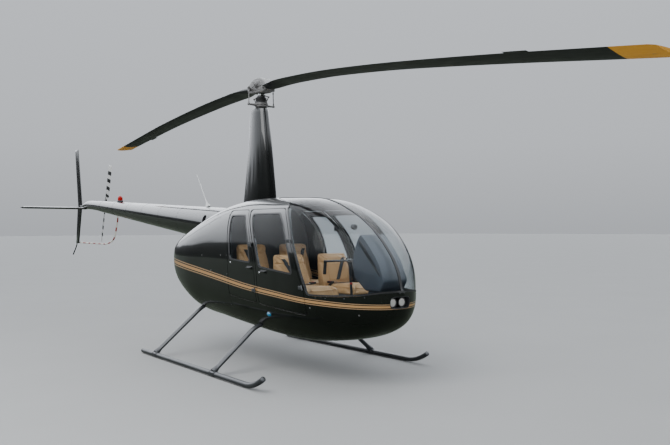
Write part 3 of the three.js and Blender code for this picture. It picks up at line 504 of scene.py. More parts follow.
def coach_lines(nodes, links, x, z):
    """Two masks, for the broad middle line and for the two thin ones."""
    along = nodes.new("ShaderNodeMapRange")
    links.new(x, along.inputs["Value"])
    along.inputs["From Min"].default_value, along.inputs["From Max"].default_value = LINE_SPAN_X
    curve = nodes.new("ShaderNodeFloatCurve")
    points = curve.mapping.curves[0].points
    while len(points) < len(LINE_CURVE):
        points.new(0.5, 0.5)
    for point, (px, pz) in zip(points, LINE_CURVE):
        point.location = ((px - LINE_SPAN_X[0]) / (LINE_SPAN_X[1] - LINE_SPAN_X[0]),
                          (pz - LINE_SPAN_Z[0]) / (LINE_SPAN_Z[1] - LINE_SPAN_Z[0]))
    curve.mapping.update()
    links.new(along.outputs["Result"], curve.inputs["Value"])
    middle = math_node(nodes, links, "MULTIPLY_ADD", curve.outputs["Value"], LINE_SPAN_Z[1] - LINE_SPAN_Z[0],
                       LINE_SPAN_Z[0])
    width = math_node(nodes, links, "MULTIPLY_ADD", x, LINE_WIDTH_SLOPE, LINE_WIDTH_AT_MAST)
    off = math_node(nodes, links, "ABSOLUTE", math_node(nodes, links, "SUBTRACT", z, middle))
    off = math_node(nodes, links, "DIVIDE", off, width)
    thick = math_node(nodes, links, "LESS_THAN", off, THICK_LINE_HALF)
    thin = math_node(nodes, links, "COMPARE", off, THIN_LINE_MIDDLE, THIN_LINE_HALF)
    return thick, thin


def gloss(shader, roughness=0.3, coat=1.0, coat_roughness=0.02):
    shader.inputs["Roughness"].default_value = roughness
    shader.inputs["Specular IOR Level"].default_value = 0.1
    shader.inputs["Coat Weight"].default_value = coat
    shader.inputs["Coat Roughness"].default_value = coat_roughness


PAINT_BLACK = (0.0035, 0.0045, 0.004)
GOLD_BROAD = (0.50, 0.285, 0.120)
GOLD_THIN = (0.42, 0.27, 0.145)


def black_paint(name="black_paint", lined=True):
    made, nodes, links, shader = material(name)
    (x, y, z), point = place_nodes(nodes, links)
    gloss(shader)
    bump_node(nodes, links, noise_node(nodes, links, point, 140, 2), 0.02, 0.0006, shader)
    dust = noise_node(nodes, links, point, 3.5, 5)
    color = mix_colors(nodes, links, spread(nodes, links, dust, 0.0, 0.5), PAINT_BLACK, (0.009, 0.010, 0.009))
    if lined:
        thick, thin = coach_lines(nodes, links, x, z)
        color = mix_colors(nodes, links, thick, color, GOLD_BROAD)
        color = mix_colors(nodes, links, thin, color, GOLD_THIN)
    links.new(color, shader.inputs["Base Color"])
    return made


BLACK_PAINT = black_paint()
PLAIN_BLACK = black_paint("plain_black_paint", lined=False)
print("paint ready")

# %% [markdown]
# ## Finishes: glazing
# The panes are blown acrylic, clear with a faint grey-blue tint. Seen square on they let nearly all light
# through, and at a shallow angle they mirror the sky. A Fresnel mix of a clear and a mirror-like layer does
# both.

# %% Glazing
GLASS_TINT = (0.93, 0.955, 0.965)
TWO_FACES = 1.8


def glazing():
    made, nodes, links, shader = material("glazing")
    point = place_nodes(nodes, links)[1]
    shader.inputs["Base Color"].default_value = (0.02, 0.025, 0.03, 1)
    shader.inputs["Roughness"].default_value = 0.015
    shader.inputs["Specular IOR Level"].default_value = 1.0
    bump_node(nodes, links, noise_node(nodes, links, point, 2.2, 1), 0.05, 0.02, shader)
    clear = nodes.new("ShaderNodeBsdfTransparent")
    clear.inputs["Color"].default_value = (*GLASS_TINT, 1)
    facing = nodes.new("ShaderNodeFresnel")
    facing.inputs["IOR"].default_value = 1.6
    side = nodes.new("ShaderNodeNewGeometry")
    mix = nodes.new("ShaderNodeMixShader")
    front = math_node(nodes, links, "SUBTRACT", 1.0, side.outputs["Backfacing"])
    both_faces = math_node(nodes, links, "MULTIPLY", facing.outputs[0], TWO_FACES)
    amount = math_node(nodes, links, "MULTIPLY", both_faces, front)
    links.new(amount, mix.inputs["Fac"])
    links.new(clear.outputs[0], mix.inputs[1])
    links.new(shader.outputs[0], mix.inputs[2])
    links.new(mix.outputs[0], nodes["Material Output"].inputs["Surface"])
    return made


GLAZING = glazing()

# %% [markdown]
# ## Finishes: rubber, trim, leather and metal
# Every finish has the grain of the real one: leather has creases and pores, moulded trim a fine stipple,
# cast alloy a coarse skin, turned alloy fine rings, and painted gear tubes scuffs on their wear edges.

# %% Grained finishes
def grained(name, color, second, roughness, scale, strength=0.25, depth=0.001, metal=0.0, stretch=None,
            patch=6.0, spec=0.5):
    """A finish with two close colours in soft patches and a fine grain in its surface."""
    made, nodes, links, shader = material(name)
    point = place_nodes(nodes, links)[1]
    patches = spread(nodes, links, noise_node(nodes, links, point, patch, 6), 0, 1)
    links.new(mix_colors(nodes, links, patches, color, second), shader.inputs["Base Color"])
    grain = noise_node(nodes, links, point, scale, 3, stretch)
    links.new(spread(nodes, links, grain, roughness * 0.85, roughness * 1.15), shader.inputs["Roughness"])
    bump_node(nodes, links, grain, strength, depth, shader)
    shader.inputs["Metallic"].default_value = metal
    shader.inputs["Specular IOR Level"].default_value = spec
    return made


def leather():
    made, nodes, links, shader = material("tan_leather")
    point = place_nodes(nodes, links)[1]
    tone = spread(nodes, links, noise_node(nodes, links, point, 5, 6), 0, 1)
    links.new(mix_colors(nodes, links, tone, (0.62, 0.345, 0.145), (0.74, 0.44, 0.205)),
              shader.inputs["Base Color"])
    cells = nodes.new("ShaderNodeTexVoronoi")
    cells.feature = "DISTANCE_TO_EDGE"
    cells.inputs["Scale"].default_value = 260
    links.new(point, cells.inputs["Vector"])
    bump_node(nodes, links, cells.outputs["Distance"], 0.35, 0.0012, shader)
    shader.inputs["Roughness"].default_value = 0.5
    shader.inputs["Sheen Weight"].default_value = 0.15
    return made


TAN_LEATHER = leather()
RUBBER = grained("seal_rubber", (0.012, 0.012, 0.013), (0.022, 0.022, 0.023), 0.6, 220)
DARK_TRIM = grained("charcoal_trim", (0.030, 0.031, 0.034), (0.045, 0.046, 0.050), 0.5, 420, 0.4)
LINER = grained("cabin_liner", (0.10, 0.098, 0.094), (0.14, 0.137, 0.13), 0.75, 300, 0.4)
CARPET = grained("carpet", (0.045, 0.043, 0.042), (0.085, 0.081, 0.078), 0.95, 700, 1.0, 0.003, patch=60)
CAST_ALLOY = grained("cast_alloy", (0.150, 0.146, 0.146), (0.225, 0.220, 0.216), 0.5, 160, 0.35, 0.001, 0.3)
TURNED_ALLOY = grained("turned_alloy", (0.55, 0.56, 0.57), (0.64, 0.65, 0.66), 0.25, 60, 0.1, 0.0004, 1.0,
                       (1, 1, 30))
GEAR_PAINT = grained("gear_paint", (0.035, 0.038, 0.042), (0.055, 0.058, 0.062), 0.32, 90, 0.08, 0.0006)
STEEL = grained("exhaust_steel", (0.20, 0.15, 0.11), (0.33, 0.29, 0.26), 0.4, 50, 0.2, 0.0006, 0.9, patch=18)
ENGINE_GREY = grained("engine_grey", (0.16, 0.165, 0.17), (0.24, 0.245, 0.25), 0.5, 80, 0.4, 0.001, 0.6)
WHITE_PAINT = grained("white_paint", (0.78, 0.79, 0.79), (0.83, 0.83, 0.82), 0.3, 90, 0.05, 0.0004)
WEBBING = grained("belt_webbing", (0.028, 0.028, 0.030), (0.050, 0.050, 0.052), 0.8, 900, 0.8, 0.0008)
RED_PLASTIC = grained("red_plastic", (0.55, 0.03, 0.03), (0.62, 0.05, 0.04), 0.3, 60, 0.05)
print("grained finishes ready")

# %% [markdown]
# ## The body's surface
# The cabin and cowls are one egg. It is drawn as a boat builder would draw it: a table of cross sections
# along the body, each with its roof, belly, widest height and half width, and a smooth blend between them.
# Above the waist the section is a little squarer than an ellipse, and below it a little rounder.

# %% Body sections
# station, roof height, belly height, waist height, half width
BODY_SECTIONS = [
    (2.400, 0.898, 0.791, 0.864, 0.032),
    (2.340, 1.098, 0.649, 0.865, 0.205),
    (2.220, 1.275, 0.534, 0.875, 0.353),
    (2.000, 1.481, 0.444, 0.891, 0.498),
    (1.700, 1.655, 0.384, 0.925, 0.631),
    (1.300, 1.790, 0.340, 0.942, 0.664),
    (0.800, 1.826, 0.345, 0.955, 0.666),
    (0.300, 1.829, 0.380, 0.973, 0.664),
    (-0.200, 1.768, 0.421, 1.017, 0.664),
    (-0.700, 1.606, 0.475, 1.065, 0.660),
    (-1.100, 1.437, 0.661, 1.124, 0.597),
    (-1.350, 1.272, 0.824, 1.116, 0.413),
    (-1.500, 1.147, 0.979, 1.117, 0.166),
]
ROOF_POWER, BELLY_POWER = 3.0, 2.5
SAMPLES_BETWEEN = 40
SLOPE_STEP = 0.003
BLENDED = np.array(faired(BODY_SECTIONS, SAMPLES_BETWEEN))[::-1]


def section_at(x):
    """Roof, belly, waist and half width at one or many stations."""
    return [np.interp(x, BLENDED[:, 0], BLENDED[:, k]) for k in (1, 2, 3, 4)]


def fullness(points):
    """How far out a point lies: 1 on the body's surface, less inside."""
    roof, belly, waist, half = section_at(points[:, 0])
    above = points[:, 2] >= waist
    power = np.where(above, ROOF_POWER, BELLY_POWER)
    rise = np.where(above, roof - waist, waist - belly)
    across, up = np.abs(points[:, 1]) / half, np.abs(points[:, 2] - waist) / rise
    return (across ** power + up ** power) ** (1 / power)


def body_normals(points):
    slopes = []
    for axis in (X, Y, Z):
        move = np.zeros(3)
        move[axis] = SLOPE_STEP
        slopes.append(fullness(points + move) - fullness(points - move))
    slopes = np.array(slopes).T
    return slopes / np.linalg.norm(slopes, axis=1)[:, None]


RING_SIDES, RING_ROWS = 128, 112
# the rings stand closer together towards the nose, where the body closes fast
EVEN_SHARE, CROWDED_SHARE = 0.45, 0.55


def body_rings(inset):
    share = np.arange(RING_ROWS) / (RING_ROWS - 1)
    spaced = EVEN_SHARE * share + CROWDED_SHARE * np.sin(share * math.pi / 2)
    length = BODY_SECTIONS[0][0] - BODY_SECTIONS[-1][0]
    angles = np.array(even_angles(RING_SIDES))
    across, up = np.cos(angles), np.sin(angles)
    power = np.where(up >= 0, ROOF_POWER, BELLY_POWER)
    radius = (np.abs(across) ** power + np.abs(up) ** power) ** (-1 / power)
    rings = []
    for x in BODY_SECTIONS[-1][0] + length * spaced:
        roof, belly, waist, half = section_at(x)
        rise = np.where(up >= 0, roof - waist, waist - belly)
        ring = np.stack([np.full(RING_SIDES, x), half * across * radius, waist + rise * up * radius], axis=1)
        rings.append(ring - body_normals(ring) * inset)
    return rings


def body_skin(name, inset=0.0):
    return loft(name, [[Vector(p) for p in ring] for ring in body_rings(inset)])


def body_wall(name, inset, thickness):
    """A closed wall that follows the body, as thick as given."""
    wall = body_skin(name, inset)
    return apply_modifier(wall, "SOLIDIFY", thickness=thickness, offset=-1)


# how far below the surface each wall starts, and its thickness
SKIN, PANE, SEAL = (0.0, 0.028), (0.003, 0.005), (-0.0015, 0.010)
LINER_INSET, POD_INSET = 0.034, 0.047
skin_wall = body_wall("skin_wall", *SKIN)
pane_wall = body_wall("pane_wall", *PANE)
seal_wall = body_wall("seal_wall", *SEAL)
liner_core = body_skin("liner_core", LINER_INSET)
print("body length", BODY_SECTIONS[0][0] - BODY_SECTIONS[-1][0])


# %% [markdown]
# ## Where the panels meet
# Real panels are trimmed to lines drawn on the egg. Each line is a short run of points in the side view,
# rounded at its sharp corners and faired along its easy bends. A door and its doorway come from one
# outline, the doorway grown by the gap.

# %% Panel outlines
EASY_BEND, ARC_STEPS = math.radians(34), 6


def rounded(points, radius):
    """The closed outline with arcs at its corners, and easy bends faired from mid side to mid side."""
    made = []
    count = len(points)
    for i, here in enumerate(Vector(p) for p in points):
        before, after = Vector(points[i - 1]) - here, Vector(points[(i + 1) % count]) - here
        bend = math.pi - before.angle(after)
        limit = 0.49 * min(before.length, after.length)
        reach = limit if bend < EASY_BEND else min(radius, limit)
        start, end = here + before.normalized() * reach, here + after.normalized() * reach
        made += [eased(start, here, end, k / ARC_STEPS) for k in range(ARC_STEPS + 1)]
    return [tuple(p) for p in made]


def grown(points, distance):
    """The outline moved out by a distance, each corner along its bisector."""
    following = points[1:] + points[:1]
    area = sum(x * next_y - next_x * y for (x, y), (next_x, next_y) in zip(points, following))
    made = []
    for i, (here, beyond) in enumerate(zip(map(Vector, points), map(Vector, following))):
        arrive = (here - Vector(points[i - 1])).normalized()
        depart = (beyond - here).normalized()
        normal = Vector((arrive.y + depart.y, -arrive.x - depart.x)).normalized()
        reach = math.copysign(distance, area * distance) / max(0.5, normal.dot(Vector((arrive.y, -arrive.x))))
        made.append(tuple(here + normal * reach))
    return made


SILL = [(2.700, 0.905), (2.360, 0.900), (2.250, 0.876), (2.100, 0.864), (1.937, 0.860), (1.757, 0.862)]
POST_FRONT = [(1.757, 0.862), (1.728, 0.946), (1.685, 1.045), (1.615, 1.206), (1.519, 1.368), (1.411, 1.534),
              (1.242, 1.688)]
WINDSHIELD_AFT = [(0.600, 0.0), (0.640, 0.150), (0.750, 0.255), (0.950, 0.335), (1.150, 0.396),
                  (1.242, 0.450), (1.230, 0.800)]
SHOULDER = [(0.183, 1.693), (0.157, 1.670), (0.0, 1.631), (-0.199, 1.555), (-0.375, 1.495), (-0.568, 1.428),
            (-1.250, 1.200)]
REAR_SEAM = [(0.186, 1.693), (0.206, 1.650), (0.274, 1.527), (0.332, 1.363), (0.363, 1.201), (0.382, 0.997),
             (0.388, 0.780)]
ROOF_SEAM, COWL_FOOT, COWL_AFT, ROOF_AFT, ROOF_AFT_Z = 1.693, 0.640, -1.250, -0.100, 1.5955
FRONT_DOOR = [(0.613, 1.687), (1.212, 1.687), (1.384, 1.534), (1.492, 1.368), (1.588, 1.206), (1.658, 1.045),
              (1.701, 0.946), (1.728, 0.862), (1.732, 0.680), (0.993, 0.730), (0.963, 1.100), (0.843, 1.390)]
FRONT_WINDOW = [(0.680, 1.645), (1.190, 1.645), (1.336, 1.530), (1.441, 1.374), (1.528, 1.205),
                (1.578, 1.046), (0.998, 1.096), (0.880, 1.374)]
REAR_DOOR = [(0.192, 1.687), (0.561, 1.687), (0.791, 1.390), (0.911, 1.100), (0.941, 0.733), (0.394, 0.776),
             (0.385, 0.997), (0.366, 1.201), (0.335, 1.363), (0.277, 1.527)]
REAR_WINDOW = [(0.240, 1.638), (0.560, 1.636), (0.742, 1.419), (0.838, 1.132), (0.402, 1.159), (0.364, 1.363),
               (0.306, 1.527)]
DOOR_CORNER, WINDOW_CORNER, WINDSHIELD_BACK = 0.045, 0.045, 0.5
DOOR_GAP, SEAM_GAP = 0.006, 0.0025
# cutters run out to here, past the body on every side
FAR_NOSE, FAR_TAIL, LOW, HIGH, SIDE = 2.7, -1.7, 0.2, 2.1, 0.9
NEAR_MIDDLE, SHARP_CORNER = -0.001, 0.002
# room for the swing: behind a door's leaning top, from a height up, and under the foot of the front door
TOP_ROOM = {"least": 0.0012, "most": 0.017, "from": 1.300, "rise": 0.390}
FOOT_ROOM, LOWEST_FOOT = 0.0075, 0.6801


def doorway(points):
    """The opening round a door, with more room behind its leaning top and below its foot for the swing."""
    by_height = sorted(points, key=lambda p: p[1])
    foot = (by_height[0][0] + by_height[1][0]) / 2
    head = (by_height[-1][0] + by_height[-2][0]) / 2
    low, high = by_height[0][1], by_height[-1][1]
    roomy = []
    for x, z in grown(points, DOOR_GAP):
        middle = foot + (head - foot) * (z - low) / (high - low)
        behind = max(TOP_ROOM["least"], TOP_ROOM["most"] * (z - TOP_ROOM["from"]) / TOP_ROOM["rise"])
        roomy.append((x - behind if x < middle else x, z - FOOT_ROOM if z < LOWEST_FOOT else z))
    return roomy


def side_cutter(points, radius):
    """Cuts or keeps an outline of the right side."""
    return prism("cutter", rounded(points, radius), Y, -SIDE, NEAR_MIDDLE)


def windshield_cutter(gap):
    """The windshield's outline in the side view and from above, held back by a gap."""
    side = [(x, z + gap) for x, z in SILL] + [(x + gap, z) for x, z in POST_FRONT[1:]]
    side += [(WINDSHIELD_BACK, ROOF_SEAM), (WINDSHIELD_BACK, HIGH), (FAR_NOSE, HIGH)]
    tool = prism("windshield_cutter", rounded(side, 0.03), Y, -SIDE, SIDE)
    edge = [(x + gap, y) for x, y in WINDSHIELD_AFT]
    plan = edge + [(FAR_NOSE, SIDE), (FAR_NOSE, -SIDE)] + [(x, -y) for x, y in edge[:0:-1]]
    return cut(tool, prism("plan_cutter", rounded(plan, 0.1), Z, LOW, HIGH), "INTERSECT")


LIES_ALONG, LOOKS_IN = 0.93, -0.2


def polish(piece):
    """Gives a trimmed panel the shading of the whole body, so reflections run on from panel to panel."""
    mesh = piece.data
    places = np.empty(len(mesh.vertices) * 3)
    mesh.vertices.foreach_get("co", places)
    normals = body_normals(places.reshape(-1, 3))
    shaded = []
    for face in mesh.polygons:
        face.use_smooth = True
        for corner in face.vertices:
            fair = Vector(normals[corner])
            lean = fair.dot(face.normal)
            shaded.append(fair * math.copysign(1, lean) if abs(lean) > LIES_ALONG else face.normal.copy())
    mesh.normals_split_custom_set(shaded)
    return piece


def line_inside(piece):
    """Gives the faces that look into the cabin the second material."""
    centres = np.array([face.center for face in piece.data.polygons])
    normals = body_normals(centres)
    for face, fair in zip(piece.data.polygons, normals):
        face.material_index = int(face.normal.dot(Vector(fair)) < LOOKS_IN)
    return piece


# %% [markdown]
# ## The cabin shell
# The welded cabin frame with its posts, roof and belly is one piece on the real machine. It is the wall of
# the egg with the windshield, the doorways, the engine bay and the lamp recess cut out of it.

# %% Cabin shell
LAMP_RECESS = {"half": 0.124, "low": 0.748, "high": 0.862, "corner": 0.05, "back": 2.262}
ENGINE_BAY = SHOULDER[1:] + [(COWL_AFT, COWL_FOOT), (REAR_SEAM[-1][0], COWL_FOOT)] + REAR_SEAM[::-1]


def recess_outline(inset=0.0):
    half, low, high = LAMP_RECESS["half"] - inset, LAMP_RECESS["low"] + inset, LAMP_RECESS["high"] - inset
    return rounded([(-half, low), (half, low), (half, high), (-half, high)], LAMP_RECESS["corner"] - inset)


def engine_bay_cutter():
    """Everything behind the rear doors and above the belly pan."""
    side = [(ROOF_AFT, HIGH), (ROOF_AFT, ROOF_AFT_Z), *SHOULDER[2::-1], *REAR_SEAM[1:]]
    side += [(REAR_SEAM[-1][0], COWL_FOOT), (COWL_AFT, COWL_FOOT), (COWL_AFT, LOW)]
    side += [(FAR_TAIL, LOW), (FAR_TAIL, HIGH)]
    return prism("bay_cutter", rounded(side, SHARP_CORNER), Y, -SIDE, SIDE)


shell = copy_of(skin_wall, "cabin_shell")
cut(shell, engine_bay_cutter())
cut(shell, windshield_cutter(-SEAM_GAP))
cut(shell, prism("recess_cutter", recess_outline(), X, 2.2, FAR_NOSE))
for outline in (doorway(FRONT_DOOR), doorway(REAR_DOOR)):
    opening = side_cutter(outline, DOOR_CORNER)
    cut(shell, opening, keep=True)
    cut(shell, mirrored(opening, "cutter_left"))
    removed(opening)
polish(line_inside(shell))
settle(shell, "airframe", "black_paint", BLACK_PAINT, LINER,
       replaces=("hull", "door_posts_right", "door_posts_left", "roof_panel"))

# %% [markdown]
# ## The cowls
# Behind the cabin the egg is closed by removable panels: one over the top, one big cowl on each side of the
# engine, and a round tail panel with the fan's mouth. They are cut from the same wall, each held back by a
# seam's width, so the dark joints between them are real gaps.

# %% Cowls
# station, top, bottom of the tail cone
TAIL_SECTIONS = [(-0.450, 1.735, 1.246), (-1.000, 1.765, 1.309), (-2.050, 1.820, 1.430),
                 (-3.470, 1.897, 1.592), (-5.000, 1.981, 1.768), (-5.590, 2.007, 1.836),
                 (-6.020, 2.018, 1.868), (-6.350, 1.955, 1.875)]
FAN = {"z": 1.035, "radius": 0.205, "front": -1.330, "depth": 0.075}
CONE_ROOM = 0.004


def round_ring(x, top, bottom, sides=64, grow=0.0):
    radius, middle = (top - bottom) / 2 + grow, (top + bottom) / 2
    return [Vector((x, radius * math.cos(a), middle + radius * math.sin(a))) for a in even_angles(sides)]


def cone_core():
    """The root of the tail cone with a little room round it, to clear it out of the cowls."""
    return loft("cone_core", [round_ring(*row, 48, CONE_ROOM) for row in faired(TAIL_SECTIONS[:4], 3)])


def panel(name, *cutters):
    """A panel of the body's wall, kept where all the cutters are."""
    piece = copy_of(skin_wall, name)
    for tool in cutters:
        cut(piece, tool, "INTERSECT")
    return piece


def settle_cowl(piece):
    name = piece.name.removeprefix("fine_")
    settle(polish(piece), "airframe", "black_paint", BLACK_PAINT, replaces=(name,))


top_line = [(ROOF_AFT - SEAM_GAP, ROOF_AFT_Z), *SHOULDER[3:-1], (COWL_AFT + SEAM_GAP, SHOULDER[-1][1])]
top_side = [(ROOF_AFT - SEAM_GAP, HIGH)] + [(x, z + SEAM_GAP) for x, z in top_line]
top_side += [(COWL_AFT + SEAM_GAP, HIGH)]
top_cowl = panel("top_cowl", prism("cutter", rounded(top_side, SHARP_CORNER), Y, -SIDE, SIDE))
cut(top_cowl, cone_core())
settle_cowl(top_cowl)

cowl_right = panel("engine_cowl_right", side_cutter(grown(ENGINE_BAY, -SEAM_GAP), 0.006))
cut(cowl_right, side_cutter(doorway(REAR_DOOR), DOOR_CORNER))
cut(cowl_right, cone_core())
cowl_left = mirrored(cowl_right, "engine_cowl_left")
settle_cowl(cowl_right)
settle_cowl(cowl_left)

tail_cowl = panel("tail_cowl", block("cutter", (FAR_TAIL, COWL_AFT - SEAM_GAP), (-SIDE, SIDE), (LOW, HIGH)))
mouth_ends = (FAR_TAIL, 0, FAN["z"]), (COWL_AFT - 0.05, 0, FAN["z"])
cut(tail_cowl, rod("fan_mouth", *mouth_ends, FAN["radius"], 64))
cut(tail_cowl, cone_core())
settle_cowl(tail_cowl)

# %% [markdown]
# ## The doors
# Each door is a moulded shell as thick as the wall, with a blown window held in a rubber channel. It hangs on
# two small pin hinges on its forward edge, and the knuckles ride on the door. The right doors are made, and
# the left ones mirrored from them.

# %% Doors and their windows
FRONT_HINGE = (Vector((1.726, -0.644, 0.930)), Vector((1.512, -0.635, 1.368)))
REAR_HINGE = (Vector((0.952, -0.679, 0.860)), Vector((0.845, -0.664, 1.320)))
KNUCKLE = {"radius": 0.006, "length": 0.050}
HINGE_PLATE = {"reach": 0.058, "foot": 0.026, "half": 0.016, "thick": 0.006, "pad": 0.018}
HINGE_SCREW = {"in": 0.010, "rise": 0.008, "proud": 0.0015, "radius": 0.0035}
PANE_GAP, SEAL_OVERLAP, SEAL_WIDTH = 0.0005, 0.003, 0.013


def flank_point(x, z, out=0.0):
    """The point of the right flank seen at x, z in the side view, moved out along the surface's normal."""
    roof, belly, waist, half = section_at(x)
    rise, power = (roof - waist, ROOF_POWER) if z >= waist else (waist - belly, BELLY_POWER)
    y = -half * max(0.0, 1 - (abs(z - waist) / rise) ** power) ** (1 / power)
    point = np.array([[x, y, z]])
    return Vector(point[0] + body_normals(point)[0] * out)


def flank_normal(x, z):
    return Vector(body_normals(np.array([flank_point(x, z)]))[0])


def hinge_set(name, pins):
    """A knuckle, a leaf, a pad and two screws at each of a door's two pins."""
    lower, upper = pins
    along = (upper - lower).normalized() * KNUCKLE["length"] / 2
    plate, screw, made = HINGE_PLATE, HINGE_SCREW, []
    for pin in pins:
        x = (pin.x - plate["reach"], pin.x)
        y = (pin.y - plate["thick"] / 2, pin.y + plate["thick"] / 2)
        z = (pin.z - plate["half"], pin.z + plate["half"])
        made.append(rod("knuckle", pin - along, pin + along, KNUCKLE["radius"], 20, 0.0012))
        made.append(bevel(block("leaf", x, y, z), 0.002))
        pad = block("pad", (x[0], x[0] + plate["foot"]), (pin.y, pin.y + plate["pad"]), z)
        made.append(bevel(pad, 0.002))
        for rise in (-screw["rise"], screw["rise"]):
            head = Vector((x[0] + screw["in"], y[0], pin.z + rise))
            made.append(rod("screw", head, head - LEFTWARD * screw["proud"], screw["radius"], 10))
    return smooth(joined(name, made))


def on_flank(wall, name, outline, hole=None, corner=WINDOW_CORNER):
    """The part of a wall that lies inside an outline of the right side, less a window's hole."""
    piece = copy_of(wall, name)
    cut(piece, side_cutter(outline, corner), "INTERSECT")
    if hole:
        cut(piece, side_cutter(hole, WINDOW_CORNER))
    return polish(piece)


def both_sides(piece, name, body, slot, *finishes, replaced=""):
    """Settles a right-hand piece and its mirrored twin, each on its own body."""
    twin = mirrored(piece, f"{name}_left")
    make_active(piece)
    added(f"{name}_right")
    for made, side in ((piece, "right"), (twin, "left")):
        if "polished" in made:
            polish(made)
        settle(made, body.format(side), slot, *finishes,
               replaces=(replaced.format(side),) if replaced else ())


def make_door(name, outline, window, pins):
    """The shells, panes, seals and hinges of a door on both sides."""
    body = name + "_{}"
    door = line_inside(on_flank(skin_wall, name, outline, corner=DOOR_CORNER))
    cut(door, side_cutter(window, WINDOW_CORNER))
    polish(door)["polished"] = True
    both_sides(door, name, body, "black_paint", BLACK_PAINT, LINER, replaced=body)
    pane = on_flank(pane_wall, f"{name}_window", grown(window, -PANE_GAP))
    pane["polished"] = True
    both_sides(pane, f"{name}_window", body, "glazing", GLAZING, replaced=name + "_window_{}")
    seal = on_flank(seal_wall, f"{name}_seal", grown(window, SEAL_OVERLAP), grown(window, -SEAL_WIDTH))
    seal["polished"] = True
    both_sides(seal, f"{name}_seal", body, "dark_trim", RUBBER)
    both_sides(hinge_set(f"{name}_hinges", pins), f"{name}_hinges", body, "grey_metal", GEAR_PAINT)


make_door("front_door", FRONT_DOOR, FRONT_WINDOW, FRONT_HINGE)
make_door("rear_door", REAR_DOOR, REAR_WINDOW, REAR_HINGE)

# %% [markdown]
# ## The windshield
# Two blown halves meet at a narrow strip on the centre line, which carries the compass. A dark rubber edge
# runs all round, and small screws hold it along the sill.

# %% Windshield
STRIP_HALF, STRIP_GAP, STRIP_AFT = 0.0135, 0.0004, 0.4

half_pane = copy_of(pane_wall, "windshield")
cut(half_pane, windshield_cutter(PANE_GAP), "INTERSECT")
right_of_strip = block("half_cutter", (STRIP_AFT, FAR_NOSE), (-SIDE, -STRIP_HALF - STRIP_GAP), (LOW, HIGH))
cut(half_pane, right_of_strip, "INTERSECT")
polish(half_pane)["polished"] = True
both_sides(half_pane, "windshield", "airframe", "glazing", GLAZING, replaced="windshield_{}")

edge_seal = copy_of(seal_wall, "windshield_seal")
cut(edge_seal, windshield_cutter(-0.0015), "INTERSECT")
cut(edge_seal, windshield_cutter(SEAL_WIDTH))
settle(polish(edge_seal), "airframe", "dark_trim", RUBBER)
strip = copy_of(seal_wall, "windshield_strip")
cut(strip, windshield_cutter(0.002), "INTERSECT")
cut(strip, block("strip_cutter", (STRIP_AFT, FAR_NOSE), (-STRIP_HALF, STRIP_HALF), (LOW, HIGH)), "INTERSECT")
settle(polish(strip), "airframe", "dark_trim", RUBBER, replaces=("windshield_strip",))

# %% [markdown]
# ## Mast fairing
# A streamlined sleeve round the rotor's drive shaft: round in front, drawn out behind, and tapered upwards.

# %% Mast fairing
# height, fore, aft, half width
MAST_SECTIONS = [(1.700, 0.262, -0.380, 0.136), (1.880, 0.250, -0.345, 0.130), (2.150, 0.218, -0.300, 0.115),
                 (2.550, 0.162, -0.245, 0.097), (2.900, 0.106, -0.207, 0.081)]


WIDEST_AT, DRAWN_OUT = 0.42, 1.25


def fairing_ring(height, fore, aft, half, sides=72):
    """A teardrop across the mast: round in front of its widest place, drawn out behind it."""
    widest = fore - (fore - aft) * WIDEST_AT
    ring = []
    for angle in even_angles(sides):
        along, across = math.cos(angle), math.sin(angle)
        reach = fore - widest if along >= 0 else widest - aft
        power = 1 if along >= 0 else DRAWN_OUT
        side = half * math.copysign(abs(across) ** power, across)
        ring.append(Vector((widest + along * reach, side, height)))
    return ring


fairing = loft("mast_fairing", [fairing_ring(*row) for row in faired(MAST_SECTIONS, 5)])
smooth(bevel(fairing, 0.006, 3, 60), 40)
collar = turned("mast_collar", [(0, 0.082), (0.008, 0.078), (0.010, 0.060)], (0, 0, 2.898), (0, 0, 3), 48)
settle(smooth(collar), "airframe", "dark_trim", RUBBER)
settle(fairing, "airframe", "black_paint", PLAIN_BLACK, replaces=("mast_fairing",))

# %% [markdown]
# ## Tail cone
# A tapered tube of thin sheet that rises a little towards the tail. Laps and rivets are laid on further down.

# %% Tail cone
cone = loft("tail_cone", [round_ring(*row) for row in faired(TAIL_SECTIONS, 6)])
settle(smooth(cone, 50), "airframe", "black_paint", PLAIN_BLACK, replaces=("tail_cone",))

# %% [markdown]
# ## Fins and stabiliser
# Thin symmetric wings: thickest at a third of the chord, with a round nose and a sharp tail. The lower fin
# ends in a bent tube that strikes the ground before the tail rotor can.

# %% Fins and stabiliser
UPPER_FIN = [(-6.385, 1.915), (-6.620, 1.915), (-6.816, 3.036), (-6.622, 3.036)]
LOWER_FIN = [(-6.400, 1.914), (-6.655, 1.914), (-6.741, 1.225), (-6.575, 1.225)]
FIN_HALF = 0.015
TAIL_SKID = [(-6.650, 0, 1.300), (-6.705, 0, 1.195), (-6.915, 0, 1.005)]
TAIL_SKID_RADIUS = 0.0105
STABILISER = {"fore": -6.030, "aft": -6.340, "root": -0.020, "tip": -1.128, "z": 1.886, "thick": 0.044}


def wing_fullness(share):
    """Half thickness along the chord, 1 where it is thickest."""
    return 10 * (0.2969 * math.sqrt(share) - 0.126 * share - 0.3516 * share ** 2 + 0.2843 * share ** 3
                 - 0.1026 * share ** 4)


def wing(name, stations, sides=48):
    """A wing through stations of (leading point, trailing point, half thickness, way of the thickness)."""
    rings = []
    for lead, trail, half, way in stations:
        ring = []
        for angle in even_angles(sides):
            share = (1 - math.cos(angle)) / 2
            rise = math.copysign(half * wing_fullness(share), math.sin(angle))
            ring.append(lead.lerp(trail, share) + way * rise)
        rings.append(ring)
    return smooth(loft(name, rings), 40)


